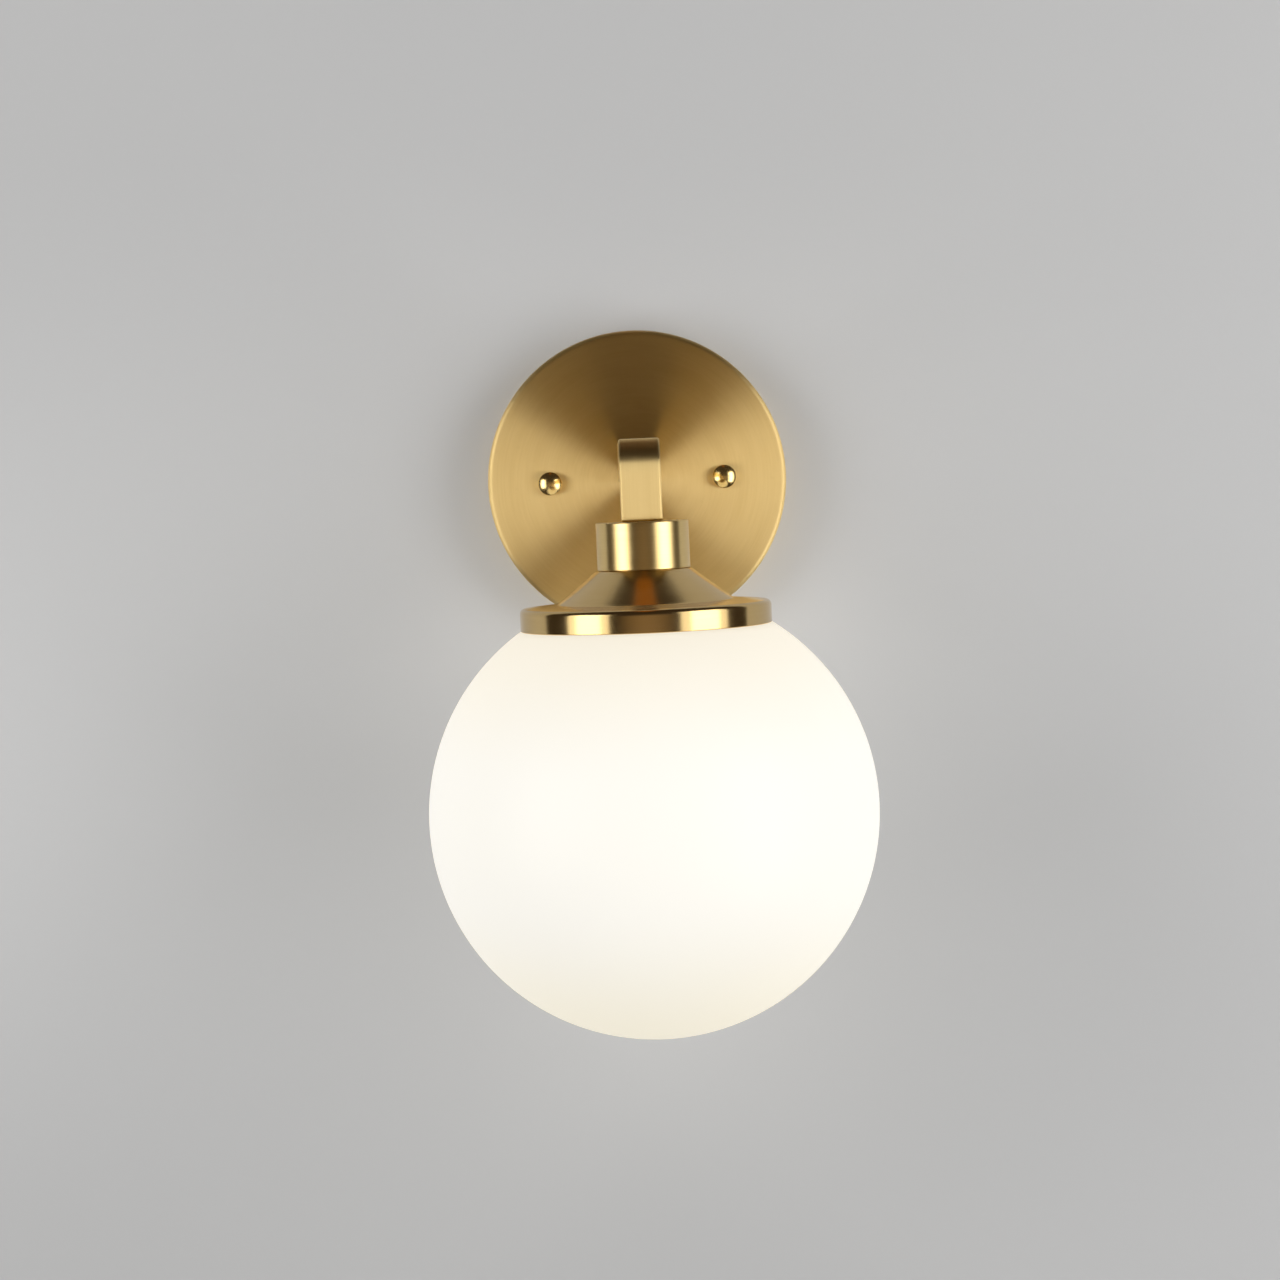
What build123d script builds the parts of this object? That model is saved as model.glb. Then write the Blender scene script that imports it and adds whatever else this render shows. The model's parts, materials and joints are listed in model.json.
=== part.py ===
from build123d import *
import math
import os

# Wall sconce: round wall plate, square-tube arm, turned collar, spun holder and opal globe.
# Millimetres. The origin is the centre of the plate's back on the wall, +Z is up, the front faces -Y.

# Fits
FIT = 0.05
LOOSE_FIT = 0.2
SCREW_HOLE_PLAY = 0.3

# Wall plate
PLATE_DIAMETER = 120.0
PLATE_DEPTH = 20.0
PLATE_WALL = 1.2
PLATE_EDGE_RADIUS = 2.0

# Crossbar behind the plate
STRAP_LENGTH = 108.0
STRAP_HEIGHT = 18.0
STRAP_THICKNESS = 2.0
STRAP_CORNER = 4.0
STRAP_WIRE_HOLE = 14.0
BOX_SCREW_SPACING = 88.9
BOX_SLOT_WIDTH = 4.6
BOX_SLOT_LENGTH = 9.0
GROUND_SCREW_X = 20.0
GROUND_SCREW_DIAMETER = 4.0
GROUND_HEAD_DIAMETER = 7.6
GROUND_HEAD_HEIGHT = 2.6
GROUND_WASHER_DIAMETER = 9.4
GROUND_WASHER_HEIGHT = 0.8
SCREW_SLOT_WIDTH = 0.9
SCREW_SLOT_DEPTH = 1.0

# Studs and domed knobs
STUD_SPACING = 70.0
STUD_DIAMETER = 4.0
LOCK_NUT_WIDTH = 7.0
LOCK_NUT_HEIGHT = 3.2
KNOB_DIAMETER = 9.4
KNOB_SKIRT_HEIGHT = 3.0
KNOB_DOME_RADIUS = 6.7
KNOB_EDGE_RADIUS = 0.5
KNOB_SKIN = 1.6

# Terminal block on the crossbar
BLOCK_X = -21.0
BLOCK_LENGTH = 16.0
BLOCK_HEIGHT = 17.0
BLOCK_DEPTH = 11.0
BLOCK_CORNER = 0.8
POLE_SPACING = 9.0
POLE_LEVEL = 5.0
TERMINAL_SCREW_DIAMETER = 3.6
TERMINAL_SCREW_INSET = 4.0
TERMINAL_SCREW_SINK = 1.0
BLOCK_SCREW_DIAMETER = 2.6
BLOCK_SCREW_HEAD = 4.6
BLOCK_SCREW_HEAD_HEIGHT = 1.8
BLOCK_FLOOR = 4.0

# Arm
ARM_WIDTH = 15.0
ARM_HEIGHT = 16.0
ARM_WALL = 1.2
ARM_TOP = 15.2
ARM_REACH = 120.0
ARM_LOWER_END = -15.0
ARM_CORNER_RADIUS = 15.0
ARM_CORNER_TURN = 55.0
ARM_CREST_RADIUS = 1.6
ARM_INNER_CORNER_RADIUS = 1.5
ARM_EDGE_RADIUS = 1.0
ARM_END_RADIUS = 0.9
ROOT_PLUG_LENGTH = 12.0
END_PLUG_LENGTH = 10.0

# Threaded tubes that hold the arm and the head
NIPPLE_DIAMETER = 10.0
NIPPLE_BORE = 7.2
NIPPLE_IN_PLUG = 9.0
NIPPLE_PROUD = 1.0
WASHER_DIAMETER = 18.0
WASHER_THICKNESS = 0.8
NUT_WIDTH = 14.0
NUT_HEIGHT = 4.0

# Collar
COLLAR_DIAMETER = 34.0
COLLAR_HEIGHT = 17.5
COLLAR_WALL = 2.0
COLLAR_TOP_THICKNESS = 3.0
COLLAR_EDGE_RADIUS = 0.5

# Spun holder
HOLDER_WALL = 1.2
CONE_TOP_DIAMETER = 35.0
CONE_BASE_DIAMETER = 65.0
CONE_HEIGHT = 11.8
RIM_DIAMETER = 92.0
SHOULDER_DROP = 1.0
RIM_HEIGHT = 8.2
RIM_ROUNDING = 1.9
CONE_TOP_ROUNDING = 0.8
CONE_BASE_ROUNDING = 0.6
HOLDER_ROUNDING_MIN = 0.3

# Globe and its thread
GLOBE_DIAMETER = 165.0
GLASS_WALL = 3.0
THREAD_RING_WALL = 1.0
NECK_WALL = 4.0
GASKET_THICKNESS = 1.2
THREAD_RING_TOP_GAP = 1.2

# Lampholder
CAP_GAP = 0.5
CAP_NECK_DIAMETER = 16.0
CAP_NECK_HEIGHT = 6.0
CAP_DOME_HEIGHT = 14.0
CAP_DOME_SLOPE = 4.0
CAP_WALL = 2.0
SOCKET_DIAMETER = 40.0
SOCKET_HEIGHT = 28.0
SEPTUM_THICKNESS = 6.0
SPIGOT_HEIGHT = 1.5
SHELL_DIAMETER = 28.0
SHELL_WALL = 0.6
SHELL_HEIGHT = 20.0
SHELL_FLANGE_HOLE = 14.0
CONTACT_DIAMETER = 8.0
CONTACT_THICKNESS = 0.8
CONTACT_STEM_DIAMETER = 3.0
TERMINAL_X = 10.0
TERMINAL_WIDTH = 6.0
TERMINAL_HEIGHT = 4.0
TERMINAL_FLOOR = 1.0

# Inner leads
LEAD_DIAMETER = 1.8
LEAD_SPREAD = 1.7
LEAD_HOLE_DEPTH = 6.0
LEAD_TURN_GAP = 6.0
LEAD_BEND_RADIUS = 10.0
LEAD_ARC_SHARE = 0.45
LEAD_EXIT = 5.0
LEAD_TAIL = 4.3

# Bulb
BULB_TIP_GAP = 0.1
BULB_TIP_DIAMETER = 9.0
BULB_TIP_HEIGHT = 1.2
BULB_INSULATOR_DIAMETER = 20.0
BULB_INSULATOR_HEIGHT = 2.6
BULB_BASE_DIAMETER = 26.4
BULB_BASE_WALL = 0.5
BULB_BASE_HEIGHT = 19.0
BULB_DIAMETER = 60.0
BULB_LENGTH = 108.0
BULB_WALL = 1.4
BULB_HOUSING_HEIGHT = 32.0
BULB_WAIST_DIAMETER = 54.0
BULB_BOARD_THICKNESS = 1.6

# Places worked out from the sizes above
PLATE_FACE = -PLATE_DEPTH
PLATE_INSIDE = PLATE_FACE + PLATE_WALL
STRAP_FACE = -STRAP_THICKNESS
LEG_AXIS = ARM_TOP - ARM_HEIGHT / 2
ARM_FRONT = -ARM_REACH - ARM_HEIGHT / 2
ARM_BACK = ARM_FRONT + ARM_HEIGHT
LEG_BOTTOM = ARM_TOP - ARM_HEIGHT
PLUG_WIDTH = ARM_WIDTH - 2 * (ARM_WALL + FIT)
PLUG_HEIGHT = ARM_HEIGHT - 2 * (ARM_WALL + FIT)
ROOT_NUT_FACE = PLATE_INSIDE + WASHER_THICKNESS
ROOT_NIPPLE_END = ROOT_NUT_FACE + NUT_HEIGHT + NIPPLE_PROUD
COLLAR_BOTTOM = ARM_LOWER_END - COLLAR_HEIGHT
SHOULDER_TOP = COLLAR_BOTTOM - CONE_HEIGHT
RIM_TOP = SHOULDER_TOP - SHOULDER_DROP
RIM_BOTTOM = RIM_TOP - RIM_HEIGHT
RIM_INSIDE = RIM_DIAMETER / 2 - HOLDER_WALL
HEAD_NUT_TOP = COLLAR_BOTTOM - HOLDER_WALL - WASHER_THICKNESS
HEAD_NUT_BOTTOM = HEAD_NUT_TOP - NUT_HEIGHT
CAP_TOP = HEAD_NUT_BOTTOM - CAP_GAP
HEAD_NIPPLE_END = CAP_TOP - CAP_NECK_HEIGHT + NIPPLE_PROUD
CAP_BOTTOM = CAP_TOP - CAP_NECK_HEIGHT - CAP_DOME_HEIGHT
SEPTUM_BOTTOM = CAP_BOTTOM - SEPTUM_THICKNESS
SOCKET_BOTTOM = CAP_BOTTOM - SOCKET_HEIGHT
CONTACT_BOTTOM = SEPTUM_BOTTOM - CONTACT_THICKNESS
BULB_TOP = CONTACT_BOTTOM - BULB_TIP_GAP
INSULATOR_TOP = BULB_TOP - BULB_TIP_HEIGHT
BASE_TOP = INSULATOR_TOP - BULB_INSULATOR_HEIGHT
BASE_BOTTOM = BASE_TOP - BULB_BASE_HEIGHT
HOUSING_BOTTOM = BASE_BOTTOM - BULB_HOUSING_HEIGHT
BULB_BOTTOM = BULB_TOP - BULB_LENGTH
NECK_RADIUS = RIM_INSIDE - FIT - THREAD_RING_WALL - LOOSE_FIT
NECK_BORE = NECK_RADIUS - NECK_WALL
GLOBE_CENTRE = RIM_BOTTOM - math.sqrt(GLOBE_DIAMETER ** 2 - RIM_DIAMETER ** 2) / 2

HEAD = Pos(0, -ARM_REACH, 0)
WALLWARD = Plane(origin=(0, 0, 0), x_dir=(1, 0, 0), z_dir=(0, -1, 0))


def lathe(points, radii=0):
    """Turn a closed outline of (radius, height) points about the upright axis."""
    outline = FilletPolyline(*[(r, 0, z) for r, z in points], radius=radii, close=True)
    return revolve(make_face(outline), axis=Axis.Z)


def ring(inner, outer, low, high):
    """Outline of a plain ring between two radii and two heights."""
    return [(inner, low), (outer, low), (outer, high), (inner, high)]


def on_head(shape):
    """Move a shape from the upright axis to the head's axis under the arm."""
    return HEAD * shape


def forward(points, x=0.0, z=0.0):
    """Turn an outline of (radius, distance from the wall) about an axis that points to the front."""
    return Pos(x, 0, z) * Rot(90, 0, 0) * lathe(points)


def rod(x, z, diameter, y_from, y_to):
    """Round bar along Y between two depths."""
    outline = [(0, -y_to), (diameter / 2, -y_to), (diameter / 2, -y_from), (0, -y_from)]
    return forward(outline, x, z)


def hex_prism(width, height, bore):
    """Hexagon nut standing on its lower face, with a plain bore."""
    blank = extrude(RegularPolygon(width / 2, 6, major_radius=False), height)
    return blank - extrude(Circle(bore / 2), height)


def to_front(shape, y, x=0.0, z=0.0):
    """Turn an upright shape so that its foot sits at depth y and it points to the front."""
    return Pos(x, y, z) * Rot(90, 0, 0) * shape


def slotted(shape, y, x, z, length, depth=SCREW_SLOT_DEPTH):
    """Cut a driver slot into a screw head whose face is at depth y."""
    return shape - Pos(x, y, z) * Box(length, 2 * depth, SCREW_SLOT_WIDTH)


def offset_points(points, distance):
    """Shift an open outline to its right by a distance, mitred at each corner."""
    lines = []
    for (r0, z0), (r1, z1) in zip(points, points[1:]):
        length = math.hypot(r1 - r0, z1 - z0)
        normal = ((z1 - z0) / length, -(r1 - r0) / length)
        lines.append((r0 + normal[0] * distance, z0 + normal[1] * distance, r1 - r0, z1 - z0))
    shifted = [lines[0][:2]]
    for (ra, za, dra, dza), (rb, zb, drb, dzb) in zip(lines, lines[1:]):
        share = ((rb - ra) * dzb - (zb - za) * drb) / (dra * dzb - dza * drb)
        shifted.append((ra + share * dra, za + share * dza))
    last = lines[-1]
    shifted.append((last[0] + last[2], last[1] + last[3]))
    return shifted


def spun_shell(points, radii, wall):
    """Spin a sheet of even thickness whose outer outline is given, with a radius at each inner point.

    Each radius is paired with its turn: +1 where the outside is convex, -1 where it is hollow.
    """
    inner = offset_points(points, wall)
    outer_radii = [radius for radius, turn in radii]
    inner_radii = [max(radius - turn * wall, HOLDER_ROUNDING_MIN) for radius, turn in radii]
    outline = points + inner[::-1]
    corner_radii = [0] + outer_radii + [0, 0] + inner_radii[::-1] + [0]
    return lathe(outline, corner_radii)


def wall_plate():
    """Pan with a flat face, a rounded edge and a skirt that meets the wall."""
    radius = PLATE_DIAMETER / 2
    outer = [(0, PLATE_DEPTH), (radius, PLATE_DEPTH), (radius, 0)]
    floor = PLATE_DEPTH - PLATE_WALL
    inner = [(radius - PLATE_WALL, 0), (radius - PLATE_WALL, floor), (0, floor)]
    inner_radius = max(PLATE_EDGE_RADIUS - PLATE_WALL, HOLDER_ROUNDING_MIN)
    pan = Rot(90, 0, 0) * lathe(outer + inner, [0, PLATE_EDGE_RADIUS, 0, 0, inner_radius, 0])
    pan -= rod(0, LEG_AXIS, NIPPLE_DIAMETER + SCREW_HOLE_PLAY, PLATE_INSIDE, PLATE_FACE)
    for x in (-STUD_SPACING / 2, STUD_SPACING / 2):
        pan -= rod(x, 0, STUD_DIAMETER + SCREW_HOLE_PLAY, PLATE_INSIDE, PLATE_FACE)
    return pan


def crossbar():
    """Steel strap with slots for the wall box and tapped holes for the studs and screws."""
    strap = RectangleRounded(STRAP_LENGTH, STRAP_HEIGHT, STRAP_CORNER)
    strap -= Circle(STRAP_WIRE_HOLE / 2)
    for side in (-1, 1):
        strap -= Pos(side * BOX_SCREW_SPACING / 2, 0) * SlotOverall(BOX_SLOT_LENGTH, BOX_SLOT_WIDTH)
        strap -= Pos(side * STUD_SPACING / 2, 0) * Circle(STUD_DIAMETER / 2 + FIT)
    strap -= Pos(GROUND_SCREW_X, 0) * Circle(GROUND_SCREW_DIAMETER / 2 + FIT)
    strap -= Pos(BLOCK_X, 0) * Circle(BLOCK_SCREW_DIAMETER / 2 + FIT)
    return extrude(WALLWARD * strap, STRAP_THICKNESS)


def knob_top():
    """Depth of the dome's crown in front of the wall."""
    rise = KNOB_DOME_RADIUS - math.sqrt(KNOB_DOME_RADIUS ** 2 - KNOB_DIAMETER ** 2 / 4)
    return PLATE_DEPTH + KNOB_SKIRT_HEIGHT + rise


def stud_end():
    """Depth of the stud's front end inside the knob."""
    return knob_top() - KNOB_SKIN - FIT


def mounting_studs():
    """Two threaded rods from the crossbar into the knobs."""
    return [rod(side * STUD_SPACING / 2, 0, STUD_DIAMETER, 0, -stud_end()) for side in (-1, 1)]


def stud_lock_nuts():
    """Two thin nuts that lock the studs on the crossbar."""
    nut = hex_prism(LOCK_NUT_WIDTH, LOCK_NUT_HEIGHT, STUD_DIAMETER + 2 * FIT)
    return [to_front(nut, STRAP_FACE, side * STUD_SPACING / 2) for side in (-1, 1)]


def dome_knob(side):
    """Domed nut with a straight skirt that presses on the plate's face."""
    top, rim, bore = knob_top(), KNOB_DIAMETER / 2, STUD_DIAMETER / 2 + FIT
    shoulder, bottom = PLATE_DEPTH + KNOB_SKIRT_HEIGHT, top - KNOB_SKIN
    tilt = math.asin(rim / KNOB_DOME_RADIUS) / 2
    way = (KNOB_DOME_RADIUS * math.sin(tilt), 0, top - KNOB_DOME_RADIUS * (1 - math.cos(tilt)))
    profile = Polyline((bore, 0, PLATE_DEPTH), (rim, 0, PLATE_DEPTH), (rim, 0, shoulder))
    profile += ThreePointArc((rim, 0, shoulder), way, (0, 0, top))
    profile += Polyline((0, 0, top), (0, 0, bottom), (bore, 0, bottom), (bore, 0, PLATE_DEPTH))
    knob = revolve(make_face(profile), axis=Axis.Z)
    edges = [edge for edge in knob.edges() if abs(edge.center().Z - shoulder) < FIT]
    return Pos(side * STUD_SPACING / 2, 0, 0) * Rot(90, 0, 0) * fillet(edges, KNOB_EDGE_RADIUS)


def ground_screw():
    """Slotted washer-head screw in the crossbar."""
    head = -STRAP_FACE + GROUND_WASHER_HEIGHT
    top = head + GROUND_HEAD_HEIGHT
    shank_r, washer_r = GROUND_SCREW_DIAMETER / 2, GROUND_WASHER_DIAMETER / 2
    head_r = GROUND_HEAD_DIAMETER / 2
    outline = [(0, 0), (shank_r, 0), (shank_r, -STRAP_FACE), (washer_r, -STRAP_FACE), (washer_r, head)]
    outline += [(head_r, head), (head_r, top), (0, top)]
    return slotted(forward(outline, GROUND_SCREW_X), -top, GROUND_SCREW_X, 0, GROUND_HEAD_DIAMETER)


def lead_hole(depth, align):
    """Upright cutter for a lead's end, above or below its origin."""
    return Cylinder(LEAD_DIAMETER / 2 + LOOSE_FIT, depth, align=(Align.CENTER, Align.CENTER, align))


def pole_levels():
    """Heights of the two poles of the terminal block."""
    return (POLE_SPACING / 2, -POLE_SPACING / 2)


def terminal_places():
    """Centres of the four clamping screws, as x and z."""
    reach = BLOCK_LENGTH / 2 - TERMINAL_SCREW_INSET
    return [(BLOCK_X + side * reach, z) for side in (-1, 1) for z in pole_levels()]


def terminal_block():
    """Two-pole block with wire holes from both ends and screw wells from the front."""
    block = Box(BLOCK_LENGTH, BLOCK_DEPTH, BLOCK_HEIGHT)
    block = fillet(block.edges().filter_by(Axis.Y), BLOCK_CORNER)
    block = Pos(BLOCK_X, STRAP_FACE - BLOCK_DEPTH / 2, 0) * block
    front = STRAP_FACE - BLOCK_DEPTH
    lead_y = STRAP_FACE - POLE_LEVEL
    hole = lead_hole(LEAD_HOLE_DEPTH, Align.MAX)
    for z in pole_levels():
        for side in (-1, 1):
            block -= Pos(BLOCK_X + side * BLOCK_LENGTH / 2, lead_y, z) * Rot(0, side * 90, 0) * hole
    for x, z in terminal_places():
        block -= rod(x, z, TERMINAL_SCREW_DIAMETER + 2 * LOOSE_FIT, lead_y, front)
    block -= rod(BLOCK_X, 0, BLOCK_SCREW_HEAD + 2 * LOOSE_FIT, STRAP_FACE - BLOCK_FLOOR, front)
    block -= rod(BLOCK_X, 0, BLOCK_SCREW_DIAMETER + 2 * LOOSE_FIT, STRAP_FACE, front)
    return block


def terminal_screws():
    """Four slotted grub screws over the wire holes."""
    tip = STRAP_FACE - POLE_LEVEL - LEAD_DIAMETER / 2 - FIT
    head = STRAP_FACE - BLOCK_DEPTH + TERMINAL_SCREW_SINK
    screws = []
    for x, z in terminal_places():
        screw = rod(x, z, TERMINAL_SCREW_DIAMETER, tip, head)
        screws.append(slotted(screw, head, x, z, TERMINAL_SCREW_DIAMETER))
    return screws


def terminal_block_screw():
    """Cheese-head screw that holds the block on the crossbar."""
    seat = -STRAP_FACE + BLOCK_FLOOR
    top = seat + BLOCK_SCREW_HEAD_HEIGHT
    shank_r, head_r = BLOCK_SCREW_DIAMETER / 2, BLOCK_SCREW_HEAD / 2
    outline = [(0, 0), (shank_r, 0), (shank_r, seat), (head_r, seat), (head_r, top), (0, top)]
    return slotted(forward(outline, BLOCK_X), -top, BLOCK_X, 0, BLOCK_SCREW_HEAD)


def arm_outline(inset):
    """Side outline of the bent arm, drawn in by a wall thickness, open at both ends.

    The outer corner turns by a broad arc from the front face up to a crest, and by a tight one over the crest.
    """
    back, front = ARM_BACK - inset, ARM_FRONT + inset
    top, bottom = ARM_TOP - inset, LEG_BOTTOM + inset
    broad, tight = max(ARM_CORNER_RADIUS - inset, ARM_WALL), max(ARM_CREST_RADIUS - inset, FIT)
    inner = ARM_INNER_CORNER_RADIUS + inset
    turn = math.radians(ARM_CORNER_TURN)
    slope = broad * math.tan(turn / 2) + tight * math.tan(math.pi / 4 - turn / 2) + FIT
    points = [(PLATE_FACE, top), (front + slope * math.sin(turn), top), (front, top - slope * math.cos(turn))]
    points += [(front, ARM_LOWER_END), (back, ARM_LOWER_END), (back, bottom), (PLATE_FACE, bottom)]
    radii = [0, tight, broad, 0, 0, inner, 0]
    outline = FilletPolyline(*[(0, y, z) for y, z in points], radius=radii, close=True)
    return make_face(outline)


def arm_bar(inset):
    """Solid arm, narrower than the real one by a wall on each side."""
    width = ARM_WIDTH - 2 * inset
    return extrude(arm_outline(inset), width / 2, both=True, dir=(1, 0, 0))


def arm_tube():
    """Rectangular tube with softened long edges and a softened lower end."""
    bar = arm_bar(0)
    long_edges = [
        edge for edge in bar.edges()
        if abs(abs(edge.center().X) - ARM_WIDTH / 2) < FIT
        and abs(edge.center().Y - PLATE_FACE) > FIT
        and abs(edge.center().Z - ARM_LOWER_END) > FIT
    ]
    bar = fillet(long_edges, ARM_EDGE_RADIUS)
    end_edges = [edge for edge in bar.edges() if abs(edge.center().Z - ARM_LOWER_END) < FIT]
    bar = fillet(end_edges, min(ARM_END_RADIUS, ARM_EDGE_RADIUS - FIT, ARM_WALL - FIT))
    return bar - arm_bar(ARM_WALL)


def arm_root_plug():
    """Threaded block brazed into the arm's end at the plate."""
    plug = Box(PLUG_WIDTH, ROOT_PLUG_LENGTH, PLUG_HEIGHT)
    plug = Pos(0, PLATE_FACE - ROOT_PLUG_LENGTH / 2, LEG_AXIS) * plug
    plug -= rod(0, LEG_AXIS, NIPPLE_DIAMETER + 2 * FIT, PLATE_FACE, PLATE_FACE - NIPPLE_IN_PLUG)
    return plug - rod(0, LEG_AXIS, NIPPLE_BORE, PLATE_FACE, PLATE_FACE - ROOT_PLUG_LENGTH)


def arm_root_nipple():
    """Hollow threaded tube from the plug through the plate."""
    ends = (ROOT_NIPPLE_END, PLATE_FACE - NIPPLE_IN_PLUG)
    return rod(0, LEG_AXIS, NIPPLE_DIAMETER, *ends) - rod(0, LEG_AXIS, NIPPLE_BORE, *ends)


def flat_washer():
    """Plain washer for a hollow threaded tube, standing on its lower face."""
    blank = extrude(Circle(WASHER_DIAMETER / 2), WASHER_THICKNESS)
    return blank - extrude(Circle(NIPPLE_DIAMETER / 2 + FIT), WASHER_THICKNESS)


def tube_nut():
    """Hexagon nut for a hollow threaded tube, standing on its lower face."""
    return hex_prism(NUT_WIDTH, NUT_HEIGHT, NIPPLE_DIAMETER + 2 * FIT)


def arm_root_washer():
    """Washer on the plate's inside."""
    return to_front(flat_washer(), ROOT_NUT_FACE, 0, LEG_AXIS)


def arm_root_nut():
    """Nut that pulls the arm onto the plate."""
    return to_front(tube_nut(), ROOT_NUT_FACE + NUT_HEIGHT, 0, LEG_AXIS)


def arm_end_plug():
    """Threaded block brazed into the arm's lower end."""
    plug = Box(PLUG_WIDTH, PLUG_HEIGHT, END_PLUG_LENGTH)
    plug = Pos(0, 0, ARM_LOWER_END + END_PLUG_LENGTH / 2) * plug
    bore = lathe(ring(0, NIPPLE_DIAMETER / 2 + FIT, ARM_LOWER_END, ARM_LOWER_END + NIPPLE_IN_PLUG))
    way = lathe(ring(0, NIPPLE_BORE / 2, ARM_LOWER_END, ARM_LOWER_END + END_PLUG_LENGTH))
    return on_head(plug - bore - way)


def head_nipple():
    """Hollow threaded tube that carries collar, holder and lampholder."""
    outline = ring(NIPPLE_BORE / 2, NIPPLE_DIAMETER / 2, HEAD_NIPPLE_END, ARM_LOWER_END + NIPPLE_IN_PLUG)
    return on_head(lathe(outline))


def collar():
    """Turned ferrule, closed at the top and hollow below."""
    radius = COLLAR_DIAMETER / 2
    hole = NIPPLE_DIAMETER / 2 + LOOSE_FIT
    under = ARM_LOWER_END - COLLAR_TOP_THICKNESS
    outline = [(hole, ARM_LOWER_END), (radius, ARM_LOWER_END), (radius, COLLAR_BOTTOM)]
    outline += [(radius - COLLAR_WALL, COLLAR_BOTTOM), (radius - COLLAR_WALL, under), (hole, under)]
    return on_head(lathe(outline, [0, COLLAR_EDGE_RADIUS, COLLAR_EDGE_RADIUS, 0, 0, 0]))


def shade_holder():
    """Spun sheet: flat top, cone, shoulder and rim."""
    points = [
        (NIPPLE_DIAMETER / 2 + LOOSE_FIT, COLLAR_BOTTOM),
        (CONE_TOP_DIAMETER / 2, COLLAR_BOTTOM),
        (CONE_BASE_DIAMETER / 2, SHOULDER_TOP),
        (RIM_DIAMETER / 2, RIM_TOP),
        (RIM_DIAMETER / 2, RIM_BOTTOM),
    ]
    radii = [(CONE_TOP_ROUNDING, 1), (CONE_BASE_ROUNDING, -1), (RIM_ROUNDING, 1)]
    return on_head(spun_shell(points, radii, HOLDER_WALL))


def head_washer():
    """Washer under the holder's flat top."""
    return on_head(Pos(0, 0, HEAD_NUT_TOP) * flat_washer())


def head_lock_nut():
    """Nut that pulls collar and holder up against the arm."""
    return on_head(Pos(0, 0, HEAD_NUT_BOTTOM) * tube_nut())


def thread_ring_top():
    """Height of the ring's upper edge, clear of the rounding inside the rim."""
    return RIM_TOP - HOLDER_WALL - THREAD_RING_TOP_GAP


def glass_thread_ring():
    """Ring soldered into the rim, which takes the thread of the glass."""
    outer = RIM_INSIDE - FIT
    return on_head(lathe(ring(outer - THREAD_RING_WALL, outer, RIM_BOTTOM + FIT, thread_ring_top())))


def shoulder_inside(radius):
    """Height of the holder's inside under the shoulder, at a radius."""
    run = (RIM_DIAMETER - CONE_BASE_DIAMETER) / 2
    fall = SHOULDER_DROP / run
    return SHOULDER_TOP - fall * (radius - CONE_BASE_DIAMETER / 2) - HOLDER_WALL * math.hypot(1, fall)


def gasket_top():
    """Height of the gasket's upper face, just under the shoulder."""
    return shoulder_inside(NECK_RADIUS) - FIT


def globe_gasket():
    """Flat rubber ring on the neck of the globe."""
    return on_head(lathe(ring(NECK_BORE, NECK_RADIUS, gasket_top() - GASKET_THICKNESS, gasket_top())))


def glass_globe():
    """Blown globe of even wall with a neck that goes up into the rim."""
    outer, inner = GLOBE_DIAMETER / 2, GLOBE_DIAMETER / 2 - GLASS_WALL
    lip = RIM_BOTTOM - FIT
    lip_radius = math.sqrt(outer ** 2 - (lip - GLOBE_CENTRE) ** 2)
    bore_foot = GLOBE_CENTRE + math.sqrt(inner ** 2 - NECK_BORE ** 2)
    neck_top = gasket_top() - GASKET_THICKNESS
    outline = ThreePointArc((lip_radius, 0, lip), (outer, 0, GLOBE_CENTRE), (0, 0, GLOBE_CENTRE - outer))
    outline += Line(outline @ 1, (0, 0, GLOBE_CENTRE - inner))
    outline += ThreePointArc(outline @ 1, (inner, 0, GLOBE_CENTRE), (NECK_BORE, 0, bore_foot))
    neck = [(NECK_BORE, bore_foot), (NECK_BORE, neck_top), (NECK_RADIUS, neck_top), (NECK_RADIUS, lip)]
    outline += Polyline(*[(r, 0, z) for r, z in neck + [(lip_radius, lip)]])
    return on_head(revolve(make_face(outline), axis=Axis.Z))


def lampholder_cap():
    """Domed top of the lampholder, screwed onto the hollow tube."""
    bore, neck, dome = NIPPLE_DIAMETER / 2 + FIT, CAP_NECK_DIAMETER / 2, SOCKET_DIAMETER / 2
    neck_foot = CAP_TOP - CAP_NECK_HEIGHT
    outline = [(bore, CAP_TOP), (neck, CAP_TOP), (neck, neck_foot), (dome, neck_foot - CAP_DOME_SLOPE)]
    outline += [(dome, CAP_BOTTOM), (dome - CAP_WALL, CAP_BOTTOM)]
    outline += [(dome - CAP_WALL, neck_foot - CAP_DOME_SLOPE - CAP_WALL), (bore, neck_foot - CAP_WALL)]
    return on_head(lathe(outline))


def lampholder_body():
    """Porcelain sleeve with a floor that carries the contacts."""
    outer, cavity = SOCKET_DIAMETER / 2, SHELL_DIAMETER / 2 + FIT
    spigot = outer - CAP_WALL - FIT
    stem = CONTACT_STEM_DIAMETER / 2 + FIT
    top = CAP_BOTTOM + SPIGOT_HEIGHT
    outline = [(stem, top), (spigot, top), (spigot, CAP_BOTTOM)]
    outline += [(outer, CAP_BOTTOM), (outer, SOCKET_BOTTOM), (cavity, SOCKET_BOTTOM)]
    outline += [(cavity, SEPTUM_BOTTOM), (stem, SEPTUM_BOTTOM)]
    return on_head(lathe(outline))


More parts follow.
